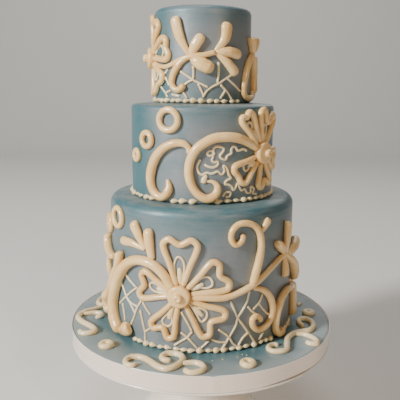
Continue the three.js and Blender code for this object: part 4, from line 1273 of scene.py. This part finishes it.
def paint_board_core():
    """The foil-faced board under the icing."""
    made, tree, shader = finish("foil board", Metallic=0.6)
    emboss = cells_at(tree, object_place(tree), 220.0, "DISTANCE_TO_EDGE")
    tone = blend_colours(tree, emboss, (0.6, 0.6, 0.58), (0.78, 0.78, 0.76))
    feed(shader, "Base Color", tone)
    feed(shader, "Roughness", between(tree, emboss, 0.0, 0.4, 0.5, 0.3))
    bump(tree, shader, emboss, 0.0006, 0.5)
    core = bpy.data.objects["board"]
    for slot in core.material_slots:
        slot.material = made


def lay_floor():
    """A pale sheet that lies under the stand and curves up behind it, so that no edge shows."""
    bend = arc((2.6, 1.6), 1.6, -90.0, 0.0, 24)
    line_back = [(-6.0, 0.0), *bend, (4.2, 6.0)]
    bm = bmesh.new()
    rows = [[bm.verts.new((x, y, z)) for x in (-9.0, 0.0, 9.0)] for y, z in line_back]
    for near, far in zip(rows, rows[1:]):
        for i in range(2):
            bm.faces.new((near[i], near[i + 1], far[i + 1], far[i]))
    mesh = mesh_of(bm, "floor")
    mesh.shade_smooth()
    made, tree, shader = finish("pale floor", Roughness=0.8)
    shader.inputs["Base Color"].default_value = (0.72, 0.71, 0.69, 1.0)
    mesh.materials.append(made)
    in_scene("floor", mesh)


def lamp(name, energy, size, place, target, colour):
    data = bpy.data.lights.new(name, "AREA")
    data.energy = energy
    data.shape = "DISK"
    data.size = size
    data.color = colour
    made = in_scene(name, data)
    made.location = place
    made.rotation_euler = (Vector(target) - Vector(place)).to_track_quat("-Z", "Y").to_euler()


def light_scene():
    lamp("key", 185.0, 0.6, (-2.35, -1.75, 1.6), (0.0, 0.0, 0.25), (1.0, 0.96, 0.9))
    lamp("warm_fill", 7.0, 0.18, (0.85, -1.45, 1.1), (0.0, 0.0, 0.25), (1.0, 0.72, 0.46))
    lamp("back", 2.5, 0.9, (0.5, 1.5, 1.3), (0.0, 0.0, 0.3), (1.0, 0.98, 0.95))
    lamp("backdrop", 60.0, 3.0, (0.0, 0.6, 3.6), (0.0, 3.4, 0.8), (1.0, 0.99, 0.97))
    world = bpy.data.worlds.new("studio")
    world.use_nodes = True
    world.node_tree.nodes["Background"].inputs[0].default_value = (1.0, 0.97, 0.93, 1.0)
    world.node_tree.nodes["Background"].inputs[1].default_value = 0.06
    bpy.context.scene.world = world


def place_camera():
    data = bpy.data.cameras.new("camera")
    data.lens = 51.14
    data.sensor_width = 36.0
    camera = in_scene("camera", data)
    turn = Matrix.Rotation(0.0032, 4, "Z")
    tilt = Matrix.Rotation(math.pi / 2 - 0.198, 4, "X") @ Matrix.Rotation(0.0075, 4, "Z")
    camera.matrix_world = Matrix.Translation((0.0, -0.6477, 0.397)) @ turn @ tilt
    bpy.context.scene.camera = camera


paint_board_core()
lay_floor()
light_scene()
place_camera()
